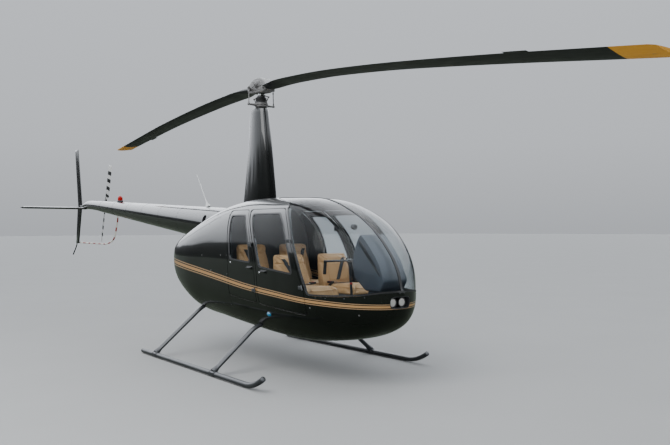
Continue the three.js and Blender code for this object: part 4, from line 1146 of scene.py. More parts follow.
def fin(name, outline):
    """An upright fin from its root to its tip, which is pinched to a rounded edge."""
    fore_foot, aft_foot, aft_head, fore_head = (Vector((x, 0, z)) for x, z in outline)
    stations = []
    for share, pinch in ((0, 1), (0.25, 1), (0.5, 1), (0.75, 1), (0.97, 1), (0.99, 0.85), (1.0, 0.45)):
        lead, trail = fore_foot.lerp(fore_head, share), aft_foot.lerp(aft_head, share)
        middle = lead.lerp(trail, 0.4)
        shrink = 1 - (1 - pinch) * 0.12
        stations.append((middle.lerp(lead, shrink), middle.lerp(trail, shrink), FIN_HALF * pinch, LEFTWARD))
    return wing(name, stations)


def stabiliser():
    """A level wing on the right side of the cone, its tip pinched to a rounded edge."""
    fore, aft, root, tip, z, thick = (STABILISER[k] for k in ("fore", "aft", "root", "tip", "z", "thick"))
    stations = []
    for share, pinch in ((0, 1), (0.3, 1), (0.6, 1), (0.9, 1), (0.985, 0.9), (1.0, 0.5)):
        y = root + (tip - root) * share
        lead, trail = Vector((fore - (1 - pinch) * 0.03, y, z)), Vector((aft + (1 - pinch) * 0.02, y, z))
        stations.append((lead, trail, thick / 2 * pinch, UPWARD))
    return wing("stabiliser", stations)


settle(fin("upper_fin", UPPER_FIN), "airframe", "black_paint", PLAIN_BLACK, replaces=("upper_fin",))
lower_fin = [fin("lower_fin", LOWER_FIN), pipe("bumper", TAIL_SKID, TAIL_SKID_RADIUS, 16, 12)]
settle(smooth(joined("lower_fin", lower_fin), 40), "airframe", "black_paint", PLAIN_BLACK,
       replaces=("lower_fin",))
settle(stabiliser(), "airframe", "black_paint", PLAIN_BLACK, replaces=("stabiliser",))

# %% [markdown]
# ## Main rotor
# Each blade is a stainless and alloy bonded wing of constant chord that droops at rest. Its root is a thick
# cuff that swallows the pitch bearing. The last stretch is painted yellow so that the tip shows when turning.

# %% Main rotor blades
MAIN_ROTOR = {"hub": 3.150, "azimuth": -2.6, "teeter": 4.2}
# reach, height, angle of the blade, chord, thickness
BLADE_FRONT = [(0.222, 3.134, -2.0, 0.150, 0.080), (0.400, 3.121, -2.0, 0.200, 0.066),
               (0.600, 3.109, -2.4, 0.254, 0.030), (0.830, 3.097, -2.7, 0.254, 0.030),
               (1.360, 3.056, -3.2, 0.254, 0.030), (1.840, 3.004, -3.8, 0.254, 0.030),
               (2.460, 2.925, -4.5, 0.254, 0.030), (3.150, 2.823, -6.0, 0.254, 0.030),
               (3.870, 2.710, -7.5, 0.254, 0.030), (4.550, 2.598, -8.5, 0.254, 0.030),
               (5.022, 2.521, -8.8, 0.254, 0.030)]
BLADE_AFT = [(0.222, 3.166, 6.0, 0.150, 0.080), (0.400, 3.176, 6.0, 0.200, 0.066),
             (0.600, 3.179, 6.0, 0.254, 0.030), (0.830, 3.176, 6.0, 0.254, 0.030),
             (1.360, 3.164, 5.5, 0.254, 0.030), (2.025, 3.134, 4.5, 0.254, 0.030),
             (2.600, 3.101, 3.0, 0.254, 0.030), (3.190, 3.061, 2.0, 0.254, 0.030),
             (3.990, 2.991, -0.5, 0.254, 0.030), (5.022, 2.899, -3.0, 0.254, 0.030)]
BLADES = (("blade_front", BLADE_FRONT, MAIN_ROTOR["azimuth"]),
          ("blade_aft", BLADE_AFT, MAIN_ROTOR["azimuth"] + 180))
TIP_RAKE = 0.16
TIP_PAINT_FROM = 4.682


def blade_paint():
    made, nodes, links, shader = material("blade_paint")
    (x, y, z), point = place_nodes(nodes, links)
    y_squared = math_node(nodes, links, "MULTIPLY", y, y)
    reach = math_node(nodes, links, "SQRT", math_node(nodes, links, "MULTIPLY_ADD", x, x, y_squared))
    scuffs = noise_node(nodes, links, point, 9, 6, (0.3, 3, 3))
    worn = spread(nodes, links, scuffs, 0, 1)
    black = mix_colors(nodes, links, worn, (0.010, 0.011, 0.012), (0.020, 0.021, 0.022))
    yellow = mix_colors(nodes, links, worn, (0.78, 0.36, 0.012), (0.70, 0.31, 0.012))
    at_tip = math_node(nodes, links, "GREATER_THAN", reach, TIP_PAINT_FROM)
    links.new(mix_colors(nodes, links, at_tip, black, yellow), shader.inputs["Base Color"])
    links.new(spread(nodes, links, scuffs, 0.32, 0.46), shader.inputs["Roughness"])
    return made


BLADE_PAINT = blade_paint()


def blade_axes(degrees):
    """The ways of a blade's chord and of its thickness, pitched by an angle."""
    angle = math.radians(degrees)
    return Vector((0, math.cos(angle), math.sin(angle))), Vector((0, -math.sin(angle), math.cos(angle)))


def main_blade(name, table, turn):
    stations = []
    rows = faired(table, 4)
    for number, (reach, height, angle, chord, thick) in enumerate(rows):
        rake = TIP_RAKE if number == len(rows) - 1 else 0
        flat, over = blade_axes(angle)
        middle = Vector((reach, 0, height))
        lead = middle + flat * chord * 0.25 + Vector((chord * 0.25 * rake, 0, 0))
        trail = middle - flat * chord * 0.75 - Vector((chord * 0.75 * rake, 0, 0))
        stations.append((lead, trail, thick / 2, over))
    blade = wing(name, stations, 40)
    blade.data.transform(Matrix.Rotation(math.radians(turn), 4, "Z"))
    return blade


for name, table, turn in BLADES:
    settle(main_blade(name, table, turn), "main_rotor", "blade_paint", BLADE_PAINT, replaces=(name,))

# %% [markdown]
# ## Fin mount
# A cast block joins the two fins behind the gearbox, with four bolts through it.

# %% Fin mount
FIN_MOUNT = {"x": (-6.470, -6.325), "z": (1.884, 1.946), "half": 0.019}
MOUNT_BOLTS = {"x": (-6.365, -6.440), "z": (1.900, 1.930), "half": 0.024, "radius": 0.006}


def fin_mount():
    half, reach = FIN_MOUNT["half"], MOUNT_BOLTS["half"]
    pieces = [bevel(block("fin_mount", FIN_MOUNT["x"], (-half, half), FIN_MOUNT["z"]), 0.008, 3)]
    for x in MOUNT_BOLTS["x"]:
        pieces += [rod("mount_bolt", (x, -reach, z), (x, reach, z), MOUNT_BOLTS["radius"], 6)
                   for z in MOUNT_BOLTS["z"]]
    return smooth(joined("fin_mount", pieces))


settle(fin_mount(), "airframe", "black_paint", PLAIN_BLACK)

# %% [markdown]
# ## Blade fittings
# A bendable tab behind the trailing edge trims each blade, and near its tip two plates cover the weights.

# %% Blade fittings
TRIM_TAB = {"reach": 3.965, "length": 0.22, "along": -0.785, "width": 0.040, "out": 0.0}
TIP_COVER = {"reach": 4.93, "length": 0.070, "along": -0.10, "width": 0.050}
COVER_OUT, PLATE_THICK = 0.44, 0.0016

def blade_place(table, reach, along, out):
    """A place on a blade at rest: along its chord from the quarter line, and out from its middle plane."""
    rows = np.array(faired(table, 4))
    height, angle, chord, thick = (float(np.interp(reach, rows[:, 0], rows[:, k])) for k in (1, 2, 3, 4))
    flat, over = blade_axes(angle)
    return Vector((reach, 0, height)) + flat * chord * along + over * thick * out, flat


def blade_plate(table, reach, length, along, width, out):
    """A thin plate on a blade, as long and wide as given, that slopes with the blade."""
    half = [size / 2 for size in (length, width, PLATE_THICK)]
    plate = bevel(block("plate", *((-size, size) for size in half)), 0.0004)
    place, flat = blade_place(table, reach, along, out)
    nearer, farther = (blade_place(table, reach + step, along, out)[0] for step in (-0.1, 0.1))
    outboard = (farther - nearer).normalized()
    over = outboard.cross(flat).normalized()
    turn = Matrix((outboard, over.cross(outboard), over)).transposed().to_4x4()
    plate.data.transform(Matrix.Translation(place) @ turn)
    return plate


def blade_fittings(name, table, turn):
    tab = blade_plate(table, **TRIM_TAB)
    covers = [blade_plate(table, **TIP_COVER, out=out) for out in (-COVER_OUT, COVER_OUT)]
    for piece in (tab, *covers):
        piece.data.transform(Matrix.Rotation(math.radians(turn), 4, "Z"))
    settle(smooth(joined(f"{name}_trim_tab", [tab])), "main_rotor", "blade_paint", BLADE_PAINT)
    settle(smooth(joined(f"{name}_tip_covers", covers)), "main_rotor", "grey_metal", CAST_ALLOY)


for row in BLADES:
    blade_fittings(*row)

# %% [markdown]
# ## Rotor head
# Two blades hang on one seesaw: a hub casting that rocks on a pivot through the shaft, with a bearing at each
# end for its blade. Below it a ring slides and tilts on the shaft, and two thin rods carry its tilt up to the
# blades' pitch arms. A ribbed boot keeps dust out of the ring's ball.

# %% Rotor head
HUB_FORE_HALF = [(0.150, -0.062), (0.215, -0.030), (0.216, 0.030), (0.140, 0.088), (0.055, 0.118)]
HUB_WAIST = [(-0.12, 0.012), (0.12, 0.012), (0.085, 0.085), (-0.085, 0.085)]
HUB_HALF, WAIST_HALF, SHAFT_RADIUS = 0.064, 0.071, 0.028
PIVOT = {"z": 0.030, "half": 0.092, "radius": 0.034}
CONING_PIN = {"reach": 0.165, "half": 0.080, "z": -0.002, "radius": 0.022}
BLADE_BEARING = {"from": 0.196, "to": 0.262, "radius": 0.0475}
SCISSORS = {"foot": (0.074, 0.020, 0.012), "knee": (0.118, 0.030, 0.085), "top": (0.030, 0.010, 0.118)}
RING = {"z": 2.947, "half": 0.026, "radius": 0.078, "arm": 0.168, "link_top": 3.123}
AZIMUTH = math.radians(MAIN_ROTOR["azimuth"])


def spun(piece, angle=AZIMUTH):
    piece.data.transform(Matrix.Rotation(angle, 4, "Z"))
    return piece


def seesaw(piece):
    """Tilts a piece that is modelled level about the hub's pivot, then turns it with the rotor."""
    hub = Matrix.Translation((0, 0, MAIN_ROTOR["hub"]))
    piece.data.transform(hub @ Matrix.Rotation(math.radians(MAIN_ROTOR["teeter"]), 4, "Y"))
    return spun(piece)


def bolt(place, way, radius, height):
    """A hexagon head on a washer."""
    place, way = Vector(place), Vector(way).normalized()
    washer = rod("washer", place, place + way * height * 0.25, radius * 1.25, 16)
    head = rod("head", place + way * height * 0.2, place + way * height, radius, 6, height * 0.12)
    return joined("bolt", [washer, head])


def hub_casting():
    outline = HUB_FORE_HALF + [(-x, z) for x, z in HUB_FORE_HALF[::-1]]
    dome = bevel(prism("hub", rounded(outline, 0.045), Y, -HUB_HALF, HUB_HALF), 0.016, 4)
    waist = bevel(prism("waist", rounded(HUB_WAIST, 0.02), Y, -WAIST_HALF, WAIST_HALF), 0.006, 3)
    half, z = PIVOT["half"], PIVOT["z"]
    pieces = [dome, waist, rod("pivot", (0, -half, z), (0, half, z), PIVOT["radius"], 40, 0.004)]
    for way in (-1, 1):
        pieces.append(bolt((0, way * (half - 0.002), z), (0, way, 0), 0.017, 0.014))
        pin_x, pin_half, pin_z = way * CONING_PIN["reach"], CONING_PIN["half"], CONING_PIN["z"]
        ends = (pin_x, -pin_half, pin_z), (pin_x, pin_half, pin_z)
        pieces.append(rod("coning_pin", *ends, CONING_PIN["radius"], 32, 0.003))
        for side in (-1, 1):
            pieces.append(bolt((pin_x, side * (pin_half - 0.002), pin_z), (0, side, 0), 0.012, 0.011))
            pieces.append(bolt((way * 0.075, side * 0.070, 0.062), (0, side, 0), 0.006, 0.006))
    return seesaw(smooth(joined("hub_casting", pieces)))


def pitch_arms():
    pieces = []
    for way in (-1, 1):
        foot, head = Vector((way * 0.190, way * 0.040, -0.010)), Vector((0, way * RING["arm"], -0.008))
        taper = [(0, 0.017), (0.03, 0.015), ((head - foot).length, 0.010)]
        pieces.append(turned("arm", taper, foot, head, 20))
        pieces.append(rod("eye", head - AHEAD * 0.011, head + AHEAD * 0.011, 0.015, 24, 0.002))
        ends = (way * BLADE_BEARING["from"], 0, 0), (way * BLADE_BEARING["to"], 0, -0.002)
        pieces.append(rod("blade_bearing", *ends, BLADE_BEARING["radius"], 40, 0.006))
    return seesaw(smooth(joined("pitch_arms", pieces)))


def swash_ring():
    """A grooved ring, the arms and links to the blades, and the scissors that make it turn."""
    z, half, radius, arm = RING["z"], RING["half"], RING["radius"], RING["arm"]
    groove = [(half - 0.005, radius - 0.002), (half - 0.002, radius - 0.008), (half + 0.002, radius - 0.008),
              (half + 0.005, radius)]
    profile = [(0, radius - 0.012), (0.005, radius - 0.004), *groove, (2 * half - 0.004, radius),
               (2 * half, radius - 0.006)]
    pieces = [turned("ring", profile, (0, 0, z - half), (0, 0, z), 56)]
    for way in (-1, 1):
        end, foot = Vector((0, way * (arm + 0.012), z)), Vector((0, way * (radius - 0.01), z))
        taper = [(0, 0.019), (0.04, 0.013), ((end - foot).length, 0.010)]
        pieces.append(turned("ring_arm", taper, foot, end, 20))
        low, high = Vector((0, way * arm, z)), Vector((0, way * (arm - 0.006), RING["link_top"]))
        pieces.append(rod("link", low, high, 0.0055, 14))
        for share in (0.04, 0.82):
            ends = low.lerp(high, share), low.lerp(high, share + 0.14)
            pieces.append(rod("rod_end", *ends, 0.0085, 14, 0.002))
        pieces.append(rod("eye", low - AHEAD * 0.012, low + AHEAD * 0.012, 0.013, 20, 0.002))
    for k in range(12):
        angle = k / 12 * math.tau
        out, rise = Vector((math.cos(angle), math.sin(angle), 0)), UPWARD * (z + half - 0.012)
        pieces.append(rod("screw", out * (radius - 0.004) + rise, out * (radius + 0.0025) + rise, 0.0045, 8))
    for way in (-1, 1):
        foot, knee, top = (Vector((way * x, way * y, z + up)) for x, y, up in SCISSORS.values())
        pieces.append(rod("scissors", foot, knee, 0.0065, 12))
        pieces.append(rod("scissors", knee, top, 0.0065, 12))
        pieces.append(rod("knee", knee - LEFTWARD * 0.012, knee + LEFTWARD * 0.012, 0.009, 16, 0.002))
    return spun(smooth(joined("swash_ring", pieces)))


def shaft_and_boot():
    shaft = rod("shaft", (0, 0, 2.908), (0, 0, MAIN_ROTOR["hub"] - 0.055), SHAFT_RADIUS, 40)
    profile = [(0, 0.070), (0.010, 0.074), (0.020, 0.066)]
    for k in range(3):
        profile += [(0.028 + k * 0.016, 0.071 - k * 0.003), (0.036 + k * 0.016, 0.061 - k * 0.003)]
    profile += [(0.080, 0.050), (0.090, 0.042)]
    boot = turned("boot", profile, (0, 0, RING["z"] + 0.023), (0, 0, 4), 48)
    band = [(0, 0.036), (0.002, 0.040), (0.020, 0.040), (0.022, 0.036)]
    clamp = turned("clamp", band, (0, 0, 3.060), (0, 0, 4), 40)
    return smooth(shaft), smooth(boot, 60), smooth(clamp)


settle(hub_casting(), "main_rotor", "grey_metal", CAST_ALLOY, replaces=("rotor_hub",))
settle(pitch_arms(), "main_rotor", "grey_metal", CAST_ALLOY)
settle(swash_ring(), "main_rotor", "grey_metal", CAST_ALLOY, replaces=("rotor_shaft",))
shaft, boot, clamp = shaft_and_boot()
settle(shaft, "main_rotor", "grey_metal", TURNED_ALLOY)
settle(boot, "main_rotor", "dark_trim", RUBBER)
settle(clamp, "main_rotor", "grey_metal", TURNED_ALLOY)

# %% [markdown]
# ## Tail rotor and its gearbox
# A right-angle gearbox closes the tail cone. The rotor's two blades are banded black and white, so that the
# turning disc shows, and a striped tube below guards the disc.

# %% Tail rotor
TAIL_ROTOR = {"x": -5.893, "y": 0.270, "z": 1.968, "radius": 0.736, "chord": 0.118, "thick": 0.014,
              "lean": 16, "pitch": 11, "root": 0.095}
TAIL_HUB = Vector((TAIL_ROTOR["x"], TAIL_ROTOR["y"], TAIL_ROTOR["z"]))
# from the hub outwards: where each black band starts and ends
BLACK_BANDS = [(0.140, 0.197), (0.275, 0.345), (0.420, 0.490), (0.560, 0.630)]
GEARBOX = {"radius": 0.062, "from": 0.020, "to": 0.150, "neck": 0.040, "neck_end": 0.190, "drain_y": 0.110}


def banded_blade_paint():
    made, nodes, links, shader = material("tail_blade_paint")
    (x, y, z), point = place_nodes(nodes, links)
    from_hub = nodes.new("ShaderNodeVectorMath")
    from_hub.operation = "DISTANCE"
    links.new(point, from_hub.inputs[0])
    from_hub.inputs[1].default_value = TAIL_HUB
    reach = from_hub.outputs["Value"]
    dirt = spread(nodes, links, noise_node(nodes, links, point, 12, 5), 0, 1)
    color = mix_colors(nodes, links, dirt, (0.72, 0.72, 0.70), (0.80, 0.80, 0.79))
    for start, end in BLACK_BANDS:
        band = math_node(nodes, links, "COMPARE", reach, (start + end) / 2, (end - start) / 2)
        color = mix_colors(nodes, links, band, color, (0.012, 0.012, 0.013))
    links.new(color, shader.inputs["Base Color"])
    shader.inputs["Roughness"].default_value = 0.35
    bump_node(nodes, links, noise_node(nodes, links, point, 70, 2), 0.04, 0.0004, shader)
    return made


BANDED_PAINT = banded_blade_paint()


def tail_blade(name, turn):
    root, tip, chord, thick = (TAIL_ROTOR[k] for k in ("root", "radius", "chord", "thick"))
    stations = []
    for span, wide, high in ((root, 0.42, 2.0), (root + 0.02, 0.5, 1.7), (root + 0.06, 1, 1), (0.4, 1, 1),
                             (tip - 0.012, 1, 1), (tip - 0.004, 0.97, 0.8), (tip, 0.86, 0.5)):
        lead = Vector((-0.25 * chord * wide, 0, span))
        trail = Vector((0.75 * chord * wide, 0, span))
        stations.append((lead, trail, thick * high / 2, LEFTWARD))
    blade = wing(name, stations, 40)
    lean, pitch = math.radians(TAIL_ROTOR["lean"] + turn), math.radians(TAIL_ROTOR["pitch"])
    blade.data.transform(Matrix.Translation(TAIL_HUB) @ Matrix.Rotation(lean, 4, "Y")
                         @ Matrix.Rotation(pitch, 4, "Z"))
    return blade


def tail_hub():
    x, y, z = TAIL_HUB
    pieces = [rod("shaft", (x, GEARBOX["neck_end"] + 0.006, z), (x, y + 0.046, z), 0.018, 28, 0.002)]
    pieces.append(rod("pitch_hub", (x, y - 0.060, z), (x, y - 0.036, z), 0.032, 32, 0.003))
    spinning = [rod("block", (0, -0.026, 0), (0, 0.026, 0), 0.045, 40, 0.004),
                bevel(block("yoke", (-0.020, 0.020), (-0.014, 0.014), (-0.102, 0.102)), 0.005, 3)]
    for way in (-1, 1):
        spinning.append(rod("pin", (-0.028, 0, way * 0.078), (0.028, 0, way * 0.078), 0.009, 20, 0.001))
        spinning.append(rod("bearing", (0, 0, way * 0.096), (0, 0, way * 0.128), 0.019, 28, 0.002))
        spinning.append(rod("horn", (0.018, -0.010, way * 0.104), (0.045, -0.046, way * 0.070), 0.006, 12))
        spinning.append(rod("link", (0.045, -0.046, way * 0.072), (0.020, -0.050, way * 0.022), 0.004, 12))
        spinning.append(bolt((0, way * 0.026, 0), (0, way, 0), 0.012, 0.010))
    turning = joined("yoke", spinning)
    lean = Matrix.Rotation(math.radians(TAIL_ROTOR["lean"]), 4, "Y")
    turning.data.transform(Matrix.Translation(TAIL_HUB) @ lean)
    return smooth(joined("tail_rotor_hub", [*pieces, turning]))


def tail_gearbox():
    x, z = TAIL_ROTOR["x"], TAIL_ROTOR["z"]
    radius, start, end = GEARBOX["radius"], GEARBOX["from"], GEARBOX["to"]
    neck, length, whole = GEARBOX["neck"], end - start, GEARBOX["neck_end"] - start
    profile = [(0, radius - 0.010), (0.012, radius)]
    for k in range(5):
        at = 0.022 + k * 0.016
        profile += [(at, radius - 0.007), (at + 0.003, radius), (at + 0.009, radius),
                    (at + 0.012, radius - 0.007)]
    profile += [(length - 0.012, radius), (length, radius - 0.012), (length + 0.004, neck)]
    profile += [(whole - 0.003, neck), (whole, neck - 0.004)]
    case = turned("case", profile, (x, start, z), (x, end, z), 48)
    y = GEARBOX["drain_y"]
    sump = turned("sump", [(0, 0.026), (0.006, 0.034), (0.050, 0.034), (0.056, 0.030)],
                  (x, y, z - 0.096), (x, y, z), 36)
    plug = bolt((x, y, z - 0.095), (0, 0, -1), 0.010, 0.010)
    sight = rod("sight", (x - 0.028, y, z - 0.066), (x - 0.040, y, z - 0.066), 0.011, 20, 0.002)
    pieces = [case, sump, plug, sight]
    for angle in even_angles(8):
        out = Vector((math.cos(angle), 0, math.sin(angle))) * (radius - 0.012)
        pieces.append(bolt(Vector((x, end - 0.002, z)) + out, (0, 1, 0), 0.005, 0.006))
    return smooth(joined("tail_gearbox", pieces))


for name, turn in (("tail_blade_upper", 0), ("tail_blade_lower", 180)):
    settle(tail_blade(name, turn), "tail_rotor", "tail_blade_paint", BANDED_PAINT, replaces=(name,))
settle(tail_hub(), "tail_rotor", "grey_metal", CAST_ALLOY, replaces=("tail_rotor_hub",))
settle(tail_gearbox(), "airframe", "grey_metal", CAST_ALLOY, replaces=("tail_gearbox",))

# %% [markdown]
# ## Tail rotor guard
# One bent tube from the tail cone round to the foot of the lower fin, with a clip at each end. Its red and
# white bands are painted as rings, so each face of the tube takes its colour from how far along it lies.

# %% Guard
GUARD = [(-4.800, 0.070, 1.790), (-4.836, 0.100, 1.722), (-5.002, 0.140, 1.514), (-5.119, 0.150, 1.346),
         (-5.216, 0.150, 1.290), (-5.411, 0.140, 1.236), (-5.701, 0.120, 1.228), (-5.974, 0.095, 1.230),
         (-6.590, 0.016, 1.241)]
GUARD_RADIUS = 0.0125
WHITE_BAND, RED_BAND = 0.120, 0.090
GUARD_RED = grained("guard_red", (0.30, 0.030, 0.018), (0.36, 0.045, 0.026), 0.35, 80, 0.05)
GUARD_WHITE = grained("guard_white", (0.72, 0.69, 0.58), (0.78, 0.75, 0.66), 0.35, 80, 0.05)


def along_path(point, path):
    """How far along a run of points the nearest place to a point lies."""
    best, walked = (1e9, 0.0), 0.0
    for a, b in zip(path, path[1:]):
        a, b = Vector(a), Vector(b)
        length = (b - a).length
        t = max(0.0, min(1.0, (point - a).dot(b - a) / length ** 2))
        best = min(best, ((a.lerp(b, t) - point).length, walked + t * length))
        walked += length
    return best[1]


guard = pipe("tail_rotor_guard", GUARD, GUARD_RADIUS, 20, 16)
for face in guard.data.polygons:
    face.material_index = int(along_path(face.center, GUARD) % (WHITE_BAND + RED_BAND) > WHITE_BAND)
settle(smooth(guard), "airframe", "guard_paint", GUARD_WHITE, GUARD_RED, replaces=("tail_rotor_guard",))
clips = [rod("clip", (-6.560, 0.006, 1.241), (-6.560, 0.034, 1.241), 0.017, 24, 0.003),
         rod("clip", (-4.806, 0.068, 1.790), (-4.826, 0.092, 1.742), 0.018, 24, 0.003)]
settle(smooth(joined("guard_clips", clips)), "airframe", "gear_paint", GEAR_PAINT)

# %% [markdown]
# ## Beacon and aerial
# A red glass dome on a black plinth, and a white whip with a moulded foot.

# %% Beacon and aerial
BEACON = {"x": -4.460, "foot": 1.950, "radius": 0.040, "height": 0.106, "straight_to": 0.062}
PLINTH = [(0, 0.050), (0.030, 0.046), (0.036, 0.046), (0.040, 0.041)]
PLINTH_SUNK = 0.014


def lens_material(name, color, glow=0.0, coat=0.5):
    made, nodes, links, shader = material(name)
    point = place_nodes(nodes, links)[1]
    shader.inputs["Base Color"].default_value = (*color, 1)
    shader.inputs["Roughness"].default_value = 0.18
    shader.inputs["Specular IOR Level"].default_value = 0.3
    shader.inputs["Coat Weight"].default_value = coat
    if glow:
        shader.inputs["Emission Color"].default_value = (*color, 1)
        shader.inputs["Emission Strength"].default_value = glow
    ribs = nodes.new("ShaderNodeTexWave")
    ribs.bands_direction = "Z"
    ribs.inputs["Scale"].default_value = 60
    links.new(point, ribs.inputs["Vector"])
    bump_node(nodes, links, ribs.outputs["Fac"], 0.25, 0.001, shader)
    return made


RED_LENS = lens_material("red_lens", (0.42, 0.008, 0.008), 0.06, 0.0)
GREEN_LENS = lens_material("green_lens", (0.03, 0.20, 0.36), 0.12)


def beacon_dome(foot):
    """A straight glass wall that closes in a dome."""
    radius, straight = BEACON["radius"], BEACON["straight_to"]
    profile = [(0.024, radius)]
    for k in range(1, 13):
        angle = k / 12 * math.pi / 2
        rise = (BEACON["height"] - straight) * math.sin(angle)
        profile.append((straight + rise, max(0.002, radius * math.cos(angle) ** 0.8)))
    return turned("beacon_dome", profile, foot, foot + UPWARD, 40)


beacon_foot = Vector((BEACON["x"], 0, BEACON["foot"]))
plinth = turned("beacon_plinth", PLINTH, beacon_foot - UPWARD * PLINTH_SUNK, beacon_foot + UPWARD, 40)
dome = beacon_dome(beacon_foot)
settle(smooth(plinth), "airframe", "dark_trim", DARK_TRIM)
settle(smooth(dome, 60), "airframe", "red_lens", RED_LENS, replaces=("beacon",))

ANTENNA_FOOT, ANTENNA_TIP = Vector((-1.352, 0, 1.815)), Vector((-1.655, 0, 2.236))
whip_length = (ANTENNA_TIP - ANTENNA_FOOT).length
whip_foot = [(-0.05, 0.034), (-0.018, 0.030), (0.0, 0.020), (0.022, 0.012), (0.050, 0.0085), (0.110, 0.0062)]
whip_rod = [(0.2, 0.0052), (whip_length - 0.006, 0.0036), (whip_length, 0.0022)]
whip = turned("antenna", whip_foot + whip_rod, ANTENNA_FOOT, ANTENNA_TIP, 24)
settle(smooth(whip, 60), "airframe", "white_paint", WHITE_PAINT, replaces=("antenna",))

# %% [markdown]
# ## Landing gear
# Two skid tubes with turned-up toes stand on bolted wear shoes. The bowed cross tubes wear slim fairings from
# the belly down to a saddle on each skid.

# %% Landing gear
SKID = {"y": 1.044, "radius": 0.0262, "aft": -0.997, "bend": 1.382, "tip": 1.691, "tip_height": 0.132,
        "shoe": 0.010}
SHOE_LENGTH, SHOE_HALF, SHOE_STARTS = 0.560, 0.020, (0.03, 0.62, 1.21, 1.789)
# station, then y and z where the strut meets the hull and where it turns level inside
STRUTS = {"front": (0.759, (0.547, 0.463), (0.300, 0.522)), "rear": (-0.626, (0.461, 0.537), (0.300, 0.600))}
STRUT_HALF = {"x": 0.033, "across": 0.022}
SADDLE_REACH, SADDLE_LOW = 1.0702, 0.004
CAP_SHARE, CAP_OUT = 0.80, 0.0035
SKID_HEIGHT = SKID["radius"] + SKID["shoe"] - 0.004


def skid_centres():
    """The tube's centre line: straight, then a toe on a smooth curve."""
    y = -SKID["y"]
    aft, bend, tip = SKID["aft"], SKID["bend"], SKID["tip"]
    line = [Vector((x, y, SKID_HEIGHT)) for x in (aft, aft + 0.4, 0.0, bend - 0.4, bend)]
    heel, knee = (Vector((x, y, SKID_HEIGHT)) for x in (bend, (bend + tip) / 2))
    toe = Vector((tip, y, SKID["tip_height"]))
    return line + [eased(heel, knee, toe, k / 14) for k in range(1, 15)]


def way_along(line, i):
    return (line[min(i + 1, len(line) - 1)] - line[max(i - 1, 0)]).normalized()


def tube_rings(centres, radius, sides=28):
    rings = []
    for i, centre in enumerate(centres):
        up = LEFTWARD.cross(way_along(centres, i)).normalized()
        rings.append([centre + (LEFTWARD * math.cos(a) + up * math.sin(a)) * radius
                      for a in even_angles(sides)])
    return rings


def closed_tube(name, centres, radius):
    """A tube whose two ends are rounded over by a smaller ring."""
    rings, caps = tube_rings(centres, radius), []
    for ring, out in ((rings[0], centres[0] - centres[1]), (rings[-1], centres[-1] - centres[-2])):
        middle, step = middle_of(ring), out.normalized() * CAP_OUT
        caps.append([middle.lerp(p, CAP_SHARE) + step for p in ring])
    return loft(name, [caps[0], *rings, caps[1]])


def strut_ring(centre, across, sides=36):
    """The oval section of a strut's fairing, long fore and aft."""
    return [centre + AHEAD * STRUT_HALF["x"] * math.cos(a) + across * STRUT_HALF["across"] * math.sin(a)
            for a in even_angles(sides)]


def cross_tube(name, station):
    """Half a bowed tube from its saddle up to the belly and in to the middle, mirrored for the other half."""
    x, hull, inner = STRUTS[station]
    foot = (SKID["y"], SKID["radius"] * 2 + SKID["shoe"] - 0.008)
    corners = [Vector((x, -y, z)) for y, z in (foot, hull, inner, (0.0, inner[1]))]
    line = []
    for i, here in enumerate(corners):
        if i in (0, len(corners) - 1):
            line.append(here)
            continue
        before, after = here.lerp(corners[i - 1], 0.12), here.lerp(corners[i + 1], 0.35)
        line += [eased(before, here, after, t) for t in (0, 0.2, 0.4, 0.6, 0.8, 1)]
    rings = []
    for i, centre in enumerate(line):
        rings.append(strut_ring(centre, AHEAD.cross(way_along(line, i)).normalized()))
    twin = [[Vector((p.x, -p.y, p.z)) for p in ring] for ring in rings[-2::-1]]
    return smooth(loft(name, rings + twin), 50)


def clamp_round(x, y, half, radius):
    """A collar on the skid, cut flat where it would stand out past the tube or touch the ground."""
    collar = rod("collar", (x - half, y, SKID_HEIGHT), (x + half, y, SKID_HEIGHT), radius, 36, 0.001)
    room = block("room", (x - 1, x + 1), (-SADDLE_REACH, SADDLE_REACH), (SADDLE_LOW, 0.5))
    return cut(collar, room, "INTERSECT")


def saddle(x, side):
    """A clamp round the skid under a strut, with a bolt before and behind the strut."""
    y = side * SKID["y"]
    grip = clamp_round(x, y, 0.055, SKID["radius"] + 0.004)
    lean = Vector((0, side * (SKID["y"] - STRUTS["front"][1][0]), 0.06 - STRUTS["front"][1][1])).normalized()
    foot = Vector((x, y, SKID_HEIGHT + 0.022))
    boss = turned("boss", [(0, 0.036), (0.040, 0.030), (0.062, 0.026)], foot, foot - lean, 36)
    pieces = [grip, boss]
    for dx in (-0.042, 0.042):
        pieces.append(clamp_round(x + dx, y, 0.006, SKID["radius"] + 0.007))
        pieces.append(bolt((x + dx, y, SKID_HEIGHT + SKID["radius"] + 0.006), (0, 0, 1), 0.006, 0.007))
    return pieces


for side, word in ((-1, "right"), (1, "left")):
    centres = [Vector((p.x, -side * p.y, p.z)) for p in skid_centres()]
    tube = smooth(closed_tube(f"skid_{word}", centres, SKID["radius"]), 50)
    settle(tube, "airframe", "gear_paint", GEAR_PAINT, replaces=(f"skid_{word}",))
    saddles = [piece for x, *_ in STRUTS.values() for piece in saddle(x, side)]
    settle(smooth(joined(f"skid_saddles_{word}", saddles)), "airframe", "gear_paint", GEAR_PAINT)
    shoe_y = (side * SKID["y"] - SHOE_HALF, side * SKID["y"] + SHOE_HALF)
    starts = [SKID["aft"] + start for start in SHOE_STARTS]
    shoes = [bevel(block("shoe", (x, x + SHOE_LENGTH), shoe_y, (0, SKID["shoe"])), 0.002) for x in starts]
    settle(smooth(joined(f"skid_shoes_{word}", shoes)), "airframe", "gear_paint", CAST_ALLOY)
for station in STRUTS:
    tube = cross_tube(f"{station}_cross_tube", station)
    settle(tube, "airframe", "gear_paint", GEAR_PAINT, replaces=(f"{station}_cross_tube",))

